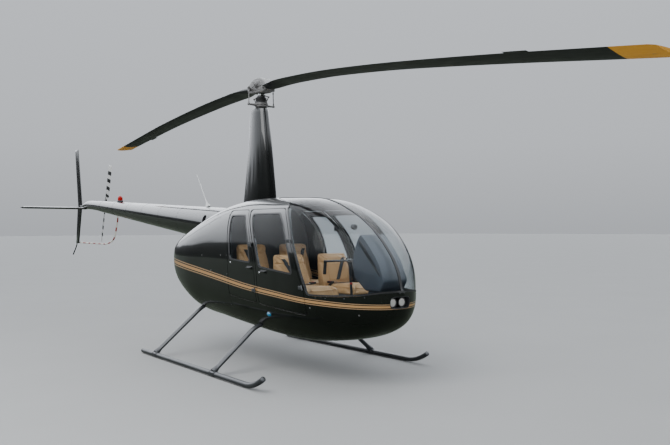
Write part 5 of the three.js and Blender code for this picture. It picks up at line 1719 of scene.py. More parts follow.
# %% [markdown]
# ## Landing lamps
# Two sealed lamps sit side by side in a black tray sunk in the nose. Each has a bright bowl behind a lightly
# fluted lens, held by a trim ring.

# %% Landing lamps
LAMP = {"y": 0.056, "z": 0.803, "radius": 0.046, "face": 2.350}


def lamp_glass():
    made, nodes, links, shader = material("lamp_glass")
    point = place_nodes(nodes, links)[1]
    flutes = nodes.new("ShaderNodeTexWave")
    flutes.bands_direction = "Y"
    flutes.inputs["Scale"].default_value = 45
    links.new(point, flutes.inputs["Vector"])
    shine = spread(nodes, links, flutes.outputs["Fac"], 0.55, 1.0)
    links.new(mix_colors(nodes, links, shine, (0.55, 0.56, 0.58), (0.95, 0.95, 0.93)),
              shader.inputs["Base Color"])
    shader.inputs["Metallic"].default_value = 0.55
    shader.inputs["Roughness"].default_value = 0.14
    shader.inputs["Coat Weight"].default_value = 1.0
    shader.inputs["Emission Color"].default_value = (1, 0.97, 0.92, 1)
    shader.inputs["Emission Strength"].default_value = 0.12
    bump_node(nodes, links, flutes.outputs["Fac"], 0.5, 0.002, shader)
    return made


LAMP_GLASS = lamp_glass()
tray = prism("landing_lamps", recess_outline(0.0004), X, LAMP_RECESS["back"], 2.42)
cut(tray, prism("tray_cutter", recess_outline(0.005), X, LAMP_RECESS["back"] + 0.005, 2.5))
cut(tray, body_skin("nose_form", 0.0005), "INTERSECT")
settle(smooth(tray), "airframe", "dark_trim", DARK_TRIM, replaces=("landing_lamps",))


def lamp_unit(side):
    """A bowl with its trim ring, and the bulging lens in it."""
    back = Vector((LAMP_RECESS["back"] + 0.006, side * LAMP["y"], LAMP["z"]))
    front = Vector((LAMP["face"] - 0.012, side * LAMP["y"], LAMP["z"]))
    depth, radius = (front - back).length, LAMP["radius"]
    bowl = [(0, radius - 0.012), (depth - 0.014, radius - 0.002)]
    trim = [(depth - 0.012, radius + 0.002), (depth - 0.002, radius + 0.002), (depth, radius),
            (depth, radius - 0.006), (depth - 0.004, radius - 0.007)]
    bulge = [(depth - 0.010, radius - 0.0075), (depth - 0.003, radius - 0.009),
             (depth + 0.002, radius - 0.018), (depth + 0.005, radius - 0.032), (depth + 0.006, 0.004)]
    return turned("housing", bowl + trim, back, front, 48), turned("lens", bulge, back, front, 48)


housings, lenses = zip(*(lamp_unit(side) for side in (-1, 1)))
settle(smooth(joined("lamp_housings", housings)), "airframe", "dark_trim", DARK_TRIM)
settle(smooth(joined("lamp_lenses", lenses), 60), "airframe", "lamp", LAMP_GLASS)

# %% [markdown]
# ## Exhaust and cooling fan
# The tail pipe drops out of the belly. The fan's mouth fills the hole of the tail cowl: a moulded ring,
# curved blades and a spinner.

# %% Exhaust and fan
EXHAUST_TOP, EXHAUST_OUTLET = Vector((-0.440, 0.210, 0.600)), Vector((-0.500, 0.240, 0.372))
EXHAUST_RADIUS, COLLAR_AT = 0.038, 0.42
EXHAUST_COLLAR = [(0, 0.060), (0.006, 0.062), (0.020, 0.052), (0.030, 0.042)]
pipe_length = (EXHAUST_OUTLET - EXHAUST_TOP).length
pipe_wall = [(0, 0.036), (pipe_length - 0.002, EXHAUST_RADIUS), (pipe_length, EXHAUST_RADIUS - 0.001),
             (pipe_length - 0.001, EXHAUST_RADIUS - 0.004), (0.05, 0.031)]
tail_pipe = turned("exhaust", pipe_wall, EXHAUST_TOP, EXHAUST_OUTLET, 48)
settle(smooth(tail_pipe), "airframe", "exhaust_steel", STEEL, replaces=("exhaust",))
collar_foot = EXHAUST_TOP.lerp(EXHAUST_OUTLET, COLLAR_AT)
pipe_collar = turned("exhaust_collar", EXHAUST_COLLAR, collar_foot, EXHAUST_OUTLET, 40)
settle(smooth(pipe_collar), "airframe", "dark_trim", RUBBER)

fan_centre = Vector((FAN["front"], 0, FAN["z"]))
behind_fan = fan_centre - AHEAD
outer, depth = FAN["radius"] - 0.005, FAN["depth"]
mouth_ring = [(0, outer), (depth - 0.006, outer), (depth, outer - 0.006), (depth - 0.006, outer - 0.014),
              (0.020, outer - 0.034), (0.012, outer - 0.040), (0.010, 0.004)]
mouth = turned("fan_mouth", mouth_ring, fan_centre, behind_fan, 72)
settle(smooth(mouth), "airframe", "dark_trim", DARK_TRIM, replaces=("cooling_fan",))
SPINNER = [(0.010, 0.060), (0.034, 0.058), (0.052, 0.046), (0.064, 0.026), (0.070, 0.004)]
VANES, VANE_PITCH = 24, math.radians(28)
VANE = {"x": (-0.046, -0.012), "y": (0.052, 0.166), "z": (-0.0012, 0.0012)}
vanes = [turned("fan_spinner", SPINNER, fan_centre, behind_fan, 40)]
for k in range(VANES):
    vane = block("vane", **VANE)
    vane.data.transform(Matrix.Rotation(VANE_PITCH, 4, "Y"))
    vane.data.transform(Matrix.Translation(fan_centre) @ Matrix.Rotation(k / VANES * math.tau, 4, "X"))
    vanes.append(vane)
settle(smooth(joined("fan_wheel", vanes)), "airframe", "grey_metal", CAST_ALLOY)
frame["nodes"]["engine"].data.materials.clear()
frame["nodes"]["engine"].data.materials.append(ENGINE_GREY)

# %% [markdown]
# ## Cabin: floor, bulkhead and seat boxes
# The seats stand on riveted boxes that double as lockers. A carpeted floor runs from the pedals to the
# bulkhead, and everything is trimmed to the inside of the cabin.

# %% Cabin structure
SEAT_Y, SEAT_HALF, SEAT_BOX_HALF = 0.285, 0.215, 0.205
SEATS = {
    "front": {"back": 1.010, "front": 1.615, "box_top": 0.808, "cushion_top": 0.908, "back_top": 1.240},
    "rear": {"back": 0.262, "front": 0.760, "box_top": 0.792, "cushion_top": 0.900, "back_top": 1.330},
}
BACK_LEAN = 0.070
FLOOR_TOP, FLOOR_FOOT = 0.580, 0.562
BULKHEAD_X, FLOOR_FRONT = (0.060, 0.086), 2.120


def both_halves(piece, name):
    """The piece and its mirror image as one."""
    return joined(name, [piece, mirrored(piece, "twin")])


def inside_cabin(piece):
    return cut(piece, liner_core, "INTERSECT", keep=True)


floor_panel = inside_cabin(block("cabin_floor", (BULKHEAD_X[0], FLOOR_FRONT), (-SIDE, SIDE),
                                 (FLOOR_FOOT, FLOOR_TOP)))
settle(smooth(floor_panel), "airframe", "dark_trim", CARPET, replaces=("cabin_floor",))
bulkhead = inside_cabin(block("bulkhead", BULKHEAD_X, (-SIDE, SIDE), (FLOOR_TOP, 2.0)))
settle(smooth(bulkhead), "airframe", "dark_trim", LINER)


def seat_box(station):
    seat = SEATS[station]
    aft, fore = seat["back"] - 0.020, seat["front"] - 0.030
    width = (SEAT_Y - SEAT_BOX_HALF, SEAT_Y + SEAT_BOX_HALF)
    top = seat["box_top"]
    case = bevel(block("case", (aft, fore - 0.004), (width[0] + 0.004, width[1] - 0.004),
                       (FLOOR_TOP - 0.001, top - 0.014)), 0.008, 3)
    lid = bevel(block("lid", (aft, fore), width, (top - 0.016, top)), 0.005, 3)
    frame_panel = bevel(block("frame_panel", (fore - 0.006, fore - 0.0005),
                              (width[0] + 0.04, width[1] - 0.04),
                              (FLOOR_TOP + 0.035, top - 0.045)), 0.002)
    latch = rod("latch", (fore - 0.004, SEAT_Y, top - 0.036), (fore, SEAT_Y, top - 0.036), 0.011, 20, 0.001)
    return [case, lid, frame_panel, latch]


def back_frame():
    """The stiff panel behind a front seat's back."""
    seat, thick = SEATS["front"], 0.018
    foot, top, low = seat["back"] - thick, seat["back_top"] - 0.030, seat["box_top"] - 0.006
    side = [(foot, low), (foot + thick, low), (foot + thick - BACK_LEAN, top), (foot - BACK_LEAN, top)]
    inner, outer = SEAT_Y - SEAT_HALF + 0.014, SEAT_Y + SEAT_HALF - 0.014
    return bevel(prism("back_panel", side, Y, inner, outer), 0.006, 3)


boxes = joined("seat_boxes", seat_box("front") + seat_box("rear") + [back_frame()])
settle(smooth(inside_cabin(both_halves(boxes, "seat_boxes"))), "airframe", "dark_trim", LINER)

# %% [markdown]
# ## Controls
# Pedals for the tail rotor, two collective levers with twist grips, and one cyclic stick in the middle whose
# cross bar carries a grip for each front seat.

# %% Controls
PEDAL_SIDES, PEDAL_FOOT, PEDAL_TOP = (-0.320, -0.170, 0.170, 0.320), 2.010, (2.030, 0.740)
LEVER_SIDES, LEVER_FOOT, LEVER_TIP = (-0.030, 0.528), (1.120, 0.660), (1.480, 0.860)
STICK_FOOT, STICK_TOP, BAR_HALF, GRIP_END = 1.700, (1.640, 1.166), 0.300, (1.625, 1.040)
KNOB_Z = 0.937
GRIP_RIBS = [(0, 0.0125), (0.005, 0.0168), (0.026, 0.0168), (0.034, 0.0142), (0.050, 0.0160), (0.062, 0.0142),
             (0.078, 0.0160), (0.090, 0.0142), (0.106, 0.0160), (0.128, 0.0165), (0.136, 0.0130)]


def pedal(y):
    """An arm from the floor with a ribbed pad at its head."""
    x, top = PEDAL_TOP
    pieces = [rod("arm", (PEDAL_FOOT, y, FLOOR_TOP - 0.002), (x, y, top), 0.0085, 16)]
    pad = block("pad", (x - 0.004, x + 0.006), (y - 0.045, y + 0.045), (0.690, 0.770))
    pieces.append(bevel(pad, 0.003, 3))
    for k in range(5):
        z = 0.700 + k * 0.015
        pieces.append(block("rib", (x - 0.008, x - 0.003), (y - 0.040, y + 0.040), (z - 0.003, z + 0.003)))
    return pieces


def lever_sleeve(foot, tip):
    """The twist grip at a lever's end, with nine ribs."""
    length = (tip - foot).length
    profile = [(length - 0.140, 0.0115)]
    for k in range(9):
        at = length - 0.134 + k * 0.013
        profile += [(at, 0.0138), (at + 0.009, 0.0138), (at + 0.011, 0.0128)]
    profile += [(length - 0.004, 0.0138), (length, 0.0110)]
    return turned("sleeve", profile, foot, tip, 24)


def lever_boot(y):
    """The ribbed boot where a lever comes out of the floor."""
    profile = [(0, 0.0218), (0.012, 0.0215)]
    for k in range(5):
        profile += [(0.020 + k * 0.015, 0.0205 - k * 0.0012), (0.0275 + k * 0.015, 0.0165 - k * 0.0012)]
    foot = Vector((LEVER_FOOT[0], y, FLOOR_TOP - 0.001))
    return turned("boot", [*profile, (0.102, 0.0120)], foot, foot + UPWARD, 28)


def control_stick():
    """The stick with its head and the cross bar."""
    x, z = STICK_TOP
    foot, top = Vector((STICK_FOOT, 0, FLOOR_TOP + 0.002)), Vector((x, 0, z))
    profile = [(0, 0.0138), (0.30, 0.0130), (0.56, 0.0125), ((foot - top).length, 0.0125)]
    return [turned("stick", profile, foot, top, 28),
            rod("head", (x, -0.030, z), (x, 0.030, z), 0.0165, 28, 0.003),
            rod("bar", (x, -BAR_HALF, z - 0.001), (x, BAR_HALF, z - 0.001), 0.0105, 24, 0.002)]


def bar_grip(y):
    """A ribbed grip that hangs from an end of the cross bar, its trigger and its red button."""
    x, z = STICK_TOP
    grip = turned("grip", GRIP_RIBS, (x, y, z + 0.009), (GRIP_END[0], y, GRIP_END[1]), 28)
    trigger = block("trigger", (x + 0.010, x + 0.0165), (y - 0.005, y + 0.005), (z - 0.050, z - 0.026))
    button = rod("button", (x - 0.012, y, z - 0.004), (x - 0.0165, y, z - 0.003), 0.0055, 16, 0.001)
    return [grip, bevel(trigger, 0.002)], button


pedals = [piece for y in PEDAL_SIDES for piece in pedal(y)]
settle(smooth(joined("pedals", pedals)), "airframe", "grey_metal", GEAR_PAINT)
levers, sleeves = [], []
for y in LEVER_SIDES:
    lever_ends = Vector((LEVER_FOOT[0], y, LEVER_FOOT[1])), Vector((LEVER_TIP[0], y, LEVER_TIP[1]))
    levers.append(rod("lever", *lever_ends, 0.0105, 20))
    sleeves += [lever_sleeve(*lever_ends), lever_boot(y)]
settle(smooth(joined("collective_levers", levers)), "airframe", "grey_metal", GEAR_PAINT)
settle(smooth(joined("lever_grips", sleeves)), "airframe", "dark_trim", RUBBER)
settle(smooth(joined("cyclic_stick", control_stick())), "airframe", "dark_trim", GEAR_PAINT,
       replaces=("cyclic_stick",))
right_grip, right_button = bar_grip(-BAR_HALF)
left_grip, left_button = bar_grip(BAR_HALF)
settle(smooth(joined("cyclic_grips", right_grip + left_grip)), "airframe", "dark_trim", RUBBER)
knob = rod("knob", (STICK_TOP[0] + 0.017, 0, KNOB_Z), (STICK_TOP[0] + 0.037, 0, KNOB_Z), 0.014, 24, 0.004)
settle(smooth(joined("red_buttons", [right_button, left_button, knob])), "airframe", "red_lens", RED_PLASTIC)

# %% [markdown]
# ## Instrument pod
# A narrow console leans in the middle of the windshield. Its face carries two rows of round dials and a row
# of switches below. The dials have ticks and needles and no writing.

# %% Instrument pod
POD_HEAD = [(1.862, 1.130), (1.884, 1.270), (1.958, 1.404), (1.985, 1.426), (2.120, 1.426), (2.320, 1.000),
            (2.260, 0.900), (2.050, 0.900), (1.900, 1.010)]
POD_HALF, POD_STAND_HALF = 0.150, 0.110
POD_GREY = grained("pod_grey", (0.060, 0.070, 0.088), (0.080, 0.092, 0.112), 0.45, 380, 0.35, 0.0008)
DIAL_BLACK = grained("dial_black", (0.006, 0.006, 0.007), (0.010, 0.010, 0.011), 0.25, 200, 0.05)
pod_room = body_skin("pod_room", POD_INSET)
POD_STAND = [(1.980, FLOOR_TOP + 0.001), (2.060, 0.940), (2.230, 0.940), (2.190, FLOOR_TOP + 0.001)]
pod_head = bevel(prism("instrument_pod", rounded(POD_HEAD, 0.020), Y, -POD_HALF, POD_HALF), 0.014, 4, 50)
pod_stand = bevel(prism("stand", POD_STAND, Y, -POD_STAND_HALF, POD_STAND_HALF), 0.010, 3)
pod = cut(pod_head, pod_stand, "UNION")
cut(pod, pod_room, "INTERSECT")
settle(smooth(pod), "airframe", "dark_trim", POD_GREY, replaces=("instrument_pod",))


def dial(radius, needle_angle):
    """A round instrument on its own axis: bezel with a sunk face, then its ticks and needle."""
    rim = [(-0.004, radius + 0.005), (0.004, radius + 0.005), (0.006, radius + 0.003), (0.006, radius)]
    bezel = turned("bezel", [*rim, (0.002, radius - 0.0005)], (0, 0, 0), UPWARD, 36)
    marks = []
    for k in range(12):
        tick = block("tick", (radius * 0.74, radius * 0.90), (-0.0009, 0.0009), (0.0015, 0.0026))
        tick.data.transform(Matrix.Rotation(k / 12 * math.tau, 4, "Z"))
        marks.append(tick)
    needle = block("needle", (-radius * 0.16, radius * 0.66), (-0.0011, 0.0011), (0.0015, 0.0032))
    needle.data.transform(Matrix.Rotation(needle_angle, 4, "Z"))
    return bezel, [*marks, needle]


bezels, marks = [], []
# height, places across, radius
DIAL_ROWS = [(1.166, (-0.094, 0.0, 0.094), 0.036), (1.246, (-0.094, 0.0, 0.094), 0.034),
             (1.330, (-0.048, 0.048), 0.031)]
for z, sides, radius in DIAL_ROWS:
    low, high = (POD_HEAD[0], POD_HEAD[1]) if z < 1.27 else (POD_HEAD[1], POD_HEAD[2])
    share = (z - low[1]) / (high[1] - low[1])
    x = low[0] + (high[0] - low[0]) * share
    normal = Vector((low[1] - high[1], 0, high[0] - low[0])).normalized()
    for y in sides:
        bezel, ticks = dial(radius, 1.0 + 14 * y + 9 * z)
        onto_face = Matrix.Translation((x, y, z)) @ normal.to_track_quat("Z", "X").to_matrix().to_4x4()
        for piece in (bezel, *ticks):
            piece.data.transform(onto_face)
        bezels.append(bezel)
        marks += ticks
for k in range(8):
    y = -0.105 + k * 0.03
    bezels.append(rod("switch", (1.884, y, 1.066), (1.864, y, 1.072), 0.004, 12, 0.001))
bezels.append(bevel(block("radio", (1.866, 1.900), (-0.080, 0.080), (1.088, 1.120)), 0.002))
settle(smooth(joined("dials", bezels)), "airframe", "dark_trim", DIAL_BLACK)
settle(smooth(joined("dial_marks", marks)), "airframe", "white_paint", WHITE_PAINT)
POD_BAND = [(1.958, 1.350), (1.982, 1.374), (2.118, 1.240), (2.270, 1.050), (2.256, 1.040), (2.086, 1.206)]
for side in (-1, 1):
    ends = sorted((side * (POD_HALF - 0.012), side * (POD_HALF + 0.0025)))
    band = bevel(prism("pod_band", rounded(POD_BAND, 0.006), Y, *ends), 0.002)
    settle(smooth(band), "airframe", "dark_trim", RUBBER)

# %% [markdown]
# ## Seats
# Each seat is a leather cover over foam. A cover a little smaller than the seat is blown up as cloth, so its
# panels crown between the edges and it stays flat where it rests. The seams are pressed in afterwards, and a
# piping runs along the edge of the cover.

# %% Seats
VOXEL, SWELL, BLOWING_FRAMES = 0.0095, 0.020, 20
SEAT_MARGIN, PANEL_SEAM = 0.012, 0.125
COVER_EDGE = 0.014


def blown_up(piece, resting):
    """Fills a cover with air. The points for which resting(place) is true stay where they are."""
    apply_modifier(piece, "REMESH", mode="VOXEL", voxel_size=VOXEL)
    start = [vertex.co.copy() for vertex in piece.data.vertices]
    held = piece.vertex_groups.new(name="held")
    held.add([vertex.index for vertex in piece.data.vertices if resting(vertex.co)], 1.0, "REPLACE")
    make_active(piece)
    cloth = piece.modifiers.new("cloth", "CLOTH")
    cloth.settings.vertex_group_mass = "held"
    cloth.settings.mass = 0.3
    cloth.settings.tension_stiffness = 15
    cloth.settings.compression_stiffness = 15
    cloth.settings.use_pressure = True
    cloth.settings.uniform_pressure_force = 4
    cloth.settings.effector_weights.gravity = 0
    for number in range(1, BLOWING_FRAMES + 1):
        bpy.context.scene.frame_set(number)
    bpy.ops.object.modifier_apply(modifier="cloth")
    for vertex, rest in zip(piece.data.vertices, start):
        move = vertex.co - rest
        vertex.co = rest + move * min(1.0, SWELL / max(move.length, 1e-9))
    bpy.context.scene.frame_set(1)
    piece.vertex_groups.clear()
    moved = max((vertex.co - rest).length for vertex, rest in zip(piece.data.vertices, start))
    print(piece.name, "blown up, most moved", round(moved, 4))
    return apply_modifier(piece, "SUBSURF", levels=1, render_levels=1)


# how far off the two seams that run along a seat's panels a place lies
LONG_SEAMS = [lambda p: p.y - SEAT_Y - PANEL_SEAM, lambda p: p.y - SEAT_Y + PANEL_SEAM]


def sewn(piece, seams, facing, depth=0.006, width=0.007):
    """Presses seams into the sides of a cover that look the way facing points."""
    normals = [vertex.normal.copy() for vertex in piece.data.vertices]
    for vertex, normal in zip(piece.data.vertices, normals):
        near = min(abs(seam(vertex.co)) for seam in seams)
        share = max(0.0, min(1.0, normal.dot(facing) * 2))
        vertex.co -= normal * depth * share * math.exp(-(near / width) ** 2)
    return piece


def surface_of(piece):
    mesh = piece.data
    return BVHTree.FromPolygons([v.co for v in mesh.vertices], [tuple(p.vertices) for p in mesh.polygons])


def piping(name, cover, corners, radius=0.0042):
    """A cord that follows a closed run of corners, laid on the nearest places of the cover."""
    surface, line = surface_of(cover), []
    for a, b in zip(corners, corners[1:] + corners[:1]):
        steps = max(2, int((Vector(b) - Vector(a)).length / 0.03))
        line += [surface.find_nearest(Vector(a).lerp(Vector(b), k / steps))[0] for k in range(steps)]
    return pipe(name, [*line, line[0]], radius, 8, 2)


def seat_cushion(station):
    seat = SEATS[station]
    aft, fore = seat["back"] + 0.104, seat["front"] - 0.012
    low, top = seat["box_top"] + 0.002, seat["cushion_top"] - 0.016
    side = [(aft, low), (fore - 0.012, low), (fore, low + 0.02), (fore - 0.002, top - 0.012),
            (fore - 0.06, top), (aft, top - 0.012)]
    inner, outer = SEAT_Y - SEAT_HALF + SEAT_MARGIN, SEAT_Y + SEAT_HALF - SEAT_MARGIN
    plan = rounded([(aft, inner), (fore, inner), (fore, outer), (aft, outer)], 0.045)
    cover = cut(prism("cushion", rounded(side, 0.018), Y, inner, outer),
                prism("plan", plan, Z, low - 0.1, top + 0.1), "INTERSECT")
    bevel(cover, COVER_EDGE, 3, 50)
    blown_up(cover, lambda place: place.z < low + 0.006)
    seams = [*LONG_SEAMS, lambda p: p.x - fore + 0.085]
    sewn(cover, seams, UPWARD)
    edge = [(aft + 0.01, inner, top), (fore - 0.008, inner, top), (fore - 0.008, outer, top),
            (aft + 0.01, outer, top)]
    return cover, piping("cushion_piping", cover, edge)


def seat_back(station):
    seat = SEATS[station]
    foot, top, low = seat["back"] + 0.010, seat["back_top"] - 0.014, seat["box_top"] + 0.004
    side = [(foot, low), (foot + 0.084, low), (foot + 0.084, seat["cushion_top"])]
    side += [(foot - BACK_LEAN + x, top - drop) for x, drop in ((0.060, 0.010), (0.044, 0), (0.010, 0.008))]
    inner, outer = SEAT_Y - SEAT_HALF + SEAT_MARGIN, SEAT_Y + SEAT_HALF - SEAT_MARGIN
    front_view = rounded([(inner + 0.012, low), (outer - 0.012, low), (outer, low + 0.12),
                          (outer - 0.022, top), (inner + 0.022, top), (inner, low + 0.12)], 0.055)
    cover = cut(prism("back", rounded(side, 0.016), Y, inner, outer),
                prism("front_view", front_view, X, foot - 0.2, foot + 0.2), "INTERSECT")
    bevel(cover, COVER_EDGE, 3, 50)

    def aft_face(place):
        share = (place.z - low) / (top - low)
        return place.x < foot - BACK_LEAN * share + 0.014 or place.z < low + 0.006
    blown_up(cover, aft_face)
    seams = [*LONG_SEAMS, lambda p: p.z - top + 0.105]
    sewn(cover, seams, AHEAD)
    face, crown = foot + 0.084, foot - BACK_LEAN + 0.062
    edge = [(face, inner, seat["cushion_top"]), (crown, inner, top - 0.006), (crown, outer, top - 0.006),
            (face, outer, seat["cushion_top"])]
    return cover, piping("back_piping", cover, edge)


SEAT_PARTS = {}
for station in SEATS:
    for part, make in (("cushion", seat_cushion), ("back", seat_back)):
        cover, cord = make(station)
        SEAT_PARTS[station, part] = surface_of(cover)
        for side, made_as in (("left", copy_of), ("right", mirrored)):
            twin = inside_cabin(made_as(cover, f"{station}_{part}_{side}"))
            taken = (f"{station}_seat_{side}",) if part == "cushion" else ()
            settle(smooth(twin, 75), "airframe", "tan_leather", TAN_LEATHER, replaces=taken)
        settle(smooth(both_halves(cord, f"{station}_{part}_piping")), "airframe", "tan_leather", TAN_LEATHER)
        removed(cover)

# %% [markdown]
# ## Belts and buckles
# A lap belt lies over each cushion, with a red release button on its buckle, and a shoulder belt runs down
# each seat back to it. On each side one more belt hangs from its reel along the post between the doors.

# %% Belts
BELT_HALF, BELT_THICK, BELT_LIFT, LAP_AHEAD = 0.023, 0.0022, 0.004, 0.170
# the eight corners of a belt's section, in half widths and half thicknesses
BELT_SECTION = ((1, -1), (1, 1), (0.94, 1.6), (-0.94, 1.6), (-1, 1), (-1, -1), (-0.94, -1.6), (0.94, -1.6))
POST_BELT = [(0.720, 1.500), (0.765, 1.420), (0.815, 1.310), (0.862, 1.200), (0.902, 1.090), (0.934, 0.990),
             (0.955, 0.890), (0.968, 0.800)]
REEL_AT, REEL_IN, POST_BELT_IN = (0.730, 1.505), -0.062, -0.046


def strap(name, places, broad, over):
    """A flat belt through places, with the way of its width (broad) and of its thickness (over) at each."""
    rings = []
    for place, wide, thick in zip(places, broad, over):
        side, lift = wide.normalized() * BELT_HALF, thick.normalized() * BELT_THICK / 2
        rings.append([place + side * a + lift * b for a, b in BELT_SECTION])
    return loft(name, rings)


def lap_belt(station):
    """Over the cushion from one lower edge to the other, resting on the leather."""
    seat, surface = SEATS[station], SEAT_PARTS[station, "cushion"]
    x, low = seat["back"] + LAP_AHEAD, seat["box_top"] + 0.012
    inner, outer = SEAT_Y - SEAT_HALF - 0.004, SEAT_Y + SEAT_HALF + 0.004
    places, over = [Vector((x, inner, low))], [Vector((0, -1, 0))]
    for k in range(25):
        y = inner + 0.012 + (outer - inner - 0.024) * k / 24
        spot, normal = surface.find_nearest(Vector((x, y, seat["cushion_top"] + 0.02)))[:2]
        normal = (normal + UPWARD).normalized()
        places.append(spot + normal * BELT_LIFT)
        over.append(normal)
    places.append(Vector((x, outer, low)))
    over.append(LEFTWARD)
    return strap("lap_belt", places, [AHEAD] * len(places), over)


def shoulder_belt(station):
    """Down the front of the seat back from its top to the lap belt."""
    seat, surface = SEATS[station], SEAT_PARTS[station, "back"]
    places, over, broad = [], [], []
    top = seat["back_top"]
    for k in range(22):
        share = k / 21
        z = top + 0.012 - (top - seat["cushion_top"]) * 0.93 * share
        aim = Vector((seat["back"] + 0.16, SEAT_Y + 0.130 - 0.150 * share, z))
        spot, normal = surface.find_nearest(aim)[:2]
        places.append(spot + normal * BELT_LIFT)
        over.append(normal)
        broad.append(LEFTWARD)
    return strap("shoulder_belt", places, broad, over)


def buckle(station):
    seat = SEATS[station]
    x, z = seat["back"] + LAP_AHEAD, seat["cushion_top"] + 0.014
    case = bevel(block("case", (x - 0.024, x + 0.024), (0.088, 0.150), (z - 0.012, z + 0.007)), 0.004, 3)
    plate = bevel(block("plate", (x - 0.019, x + 0.019), (0.150, 0.192), (z - 0.007, z - 0.003)), 0.001)
    button = bevel(block("button", (x - 0.014, x + 0.014), (0.098, 0.124), (z + 0.004, z + 0.0105)), 0.002, 3)
    return case, plate, button


def post_belt():
    """The belt that hangs down along the post between the doors, and its reel."""
    places = [flank_point(x, z, POST_BELT_IN) for x, z in POST_BELT]
    over = [flank_normal(x, z) for x, z in POST_BELT]
    reel = bevel(block("reel", (0.700, 0.760), (-0.030, 0.010), (-0.030, 0.030)), 0.008, 3)
    reel.data.transform(Matrix.Translation(flank_point(*REEL_AT, REEL_IN) - AHEAD * REEL_AT[0]))
    return strap("post_belt", places, [Vector((1, 0, 0.3))] * len(POST_BELT), over), reel


webs, cases, plates, releases = [], [], [], []
for station in SEATS:
    webs += [lap_belt(station), shoulder_belt(station)]
    case, plate, button = buckle(station)
    cases.append(case)
    plates.append(plate)
    releases.append(button)
hanging, reel = post_belt()
webs.append(mirrored(hanging, "post_belt_left"))
removed(hanging)
cases.append(mirrored(reel, "reel_left"))
removed(reel)
settle(smooth(inside_cabin(both_halves(joined("belts", webs), "belts")), 50), "airframe", "dark_trim",
       WEBBING)
settle(smooth(inside_cabin(both_halves(joined("buckles", cases), "buckles"))), "airframe", "dark_trim",
       RUBBER)
for name, pieces, slot, finish in (("buckle_plates", plates, "grey_metal", TURNED_ALLOY),
                                   ("buckle_buttons", releases, "red_lens", RED_PLASTIC)):
    settle(smooth(both_halves(joined(name, pieces), name)), "airframe", slot, finish)

# %% [markdown]
# ## Small fittings outside
# Door handles and locks, quarter-turn fasteners of the cowls, screws along the windshield, side lamps and the
# compass. They are small, but they set the scale of the machine.

# %% Small fittings
def onto_flank(piece, x, z):
    """Moves a piece made at the origin, with its outer side to -Y, onto the right flank."""
    normal, place = flank_normal(x, z), flank_point(x, z)
    ahead = (AHEAD - normal * AHEAD.dot(normal)).normalized()
    turn = Matrix((ahead, -normal, ahead.cross(-normal))).transposed().to_4x4()
    piece.data.transform(Matrix.Translation(place) @ turn)
    return outward(piece)


HANDLE_PLATE = [(-0.060, -0.019), (0.060, -0.019), (0.060, 0.019), (-0.060, 0.019)]
HANDLE_GRIP = [(-0.046, -0.008), (0.044, -0.011), (0.044, 0.011), (-0.046, 0.008)]


def handle(x, z):
    """A tapered lever that stands off an oval plate on its stem."""
    plate = bevel(prism("plate", rounded(HANDLE_PLATE, 0.016), Y, -0.0035, 0.003), 0.0015)
    grip = bevel(prism("grip", rounded(HANDLE_GRIP, 0.007), Y, -0.017, -0.010), 0.003, 3)
    stem = rod("stem", (0.030, 0, 0), (0.030, -0.012, 0), 0.0075, 20)
    return onto_flank(joined("handle", [plate, grip, stem]), x, z)


def lock(x, z):
    barrel = rod("barrel", (0, 0.004, 0), (0, -0.0045, 0), 0.0115, 28, 0.0015)
    slot = block("slot", (-0.0012, 0.0012), (-0.0055, -0.004), (-0.006, 0.006))
    return onto_flank(joined("lock", [barrel, slot]), x, z)


def fastener(x, z, radius):
    """A low round head with a driver's groove."""
    rim = [(0, radius), (0.004, radius), (0.0052, radius - 0.0018)]
    head = turned("fastener", rim, (0, 0.003, 0), (0, -1, 0), 20)
    groove = block("groove", (-radius * 0.7, radius * 0.7), (-0.0030, -0.0020), (-0.0009, 0.0009))
    return onto_flank(joined("fastener", [head, groove]), x, z)


DOOR_FITTINGS = {"front_door": ((1.100, 1.052), (1.018, 1.039)),
                 "rear_door": ((0.830, 1.080), (0.428, 1.122))}
for door, (place, key) in DOOR_FITTINGS.items():
    both_sides(smooth(handle(*place)), f"{door}_handle", door + "_{}", "black_paint", PLAIN_BLACK)
    both_sides(smooth(lock(*key)), f"{door}_lock", door + "_{}", "grey_metal", TURNED_ALLOY)


def run_of_places(points, step, shift):
    """Places at even steps along a line in the side view, moved sideways by shift."""
    made = []
    for (ax, az), (bx, bz) in zip(points, points[1:]):
        length = math.hypot(bx - ax, bz - az)
        count = max(1, round(length / step))
        nx, nz = -(bz - az) / length * shift, (bx - ax) / length * shift
        made += [(ax + (bx - ax) * k / count + nx, az + (bz - az) * k / count + nz) for k in range(count)]
    return made


COWL_STEP, COWL_IN, SILL_STEP, SILL_IN, SILL_END = 0.15, 0.022, 0.11, 0.018, 2.30
BRIGHT_PLACES = [(-0.226, 1.185), (0.211, 1.197), (-0.005, 1.022), (1.781, 0.746), (2.197, 0.695)]
cowl_places = run_of_places(SHOULDER[2:-1], COWL_STEP, COWL_IN)
cowl_places += run_of_places(REAR_SEAM[1:], COWL_STEP, -COWL_IN)
cowl_places += [(x / 100, COWL_FOOT + 0.025) for x in range(-100, 38, 17)]
cowl_places = [(x, z) for x, z in cowl_places if section_at(x)[1] + 0.01 < z < section_at(x)[0] - 0.03]
sill_places = [(x, z) for x, z in run_of_places(SILL[1:], SILL_STEP, SILL_IN) if x < SILL_END]
for name, places, size, finish in (("cowl_fasteners", cowl_places, 0.0065, GEAR_PAINT),
                                   ("bright_fasteners", BRIGHT_PLACES, 0.0075, CAST_ALLOY),
                                   ("sill_screws", sill_places, 0.0048, GEAR_PAINT)):
    heads = [fastener(x, z, size) for x, z in places]
    both_sides(smooth(joined(name, heads)), name, "airframe", "grey_metal", finish)


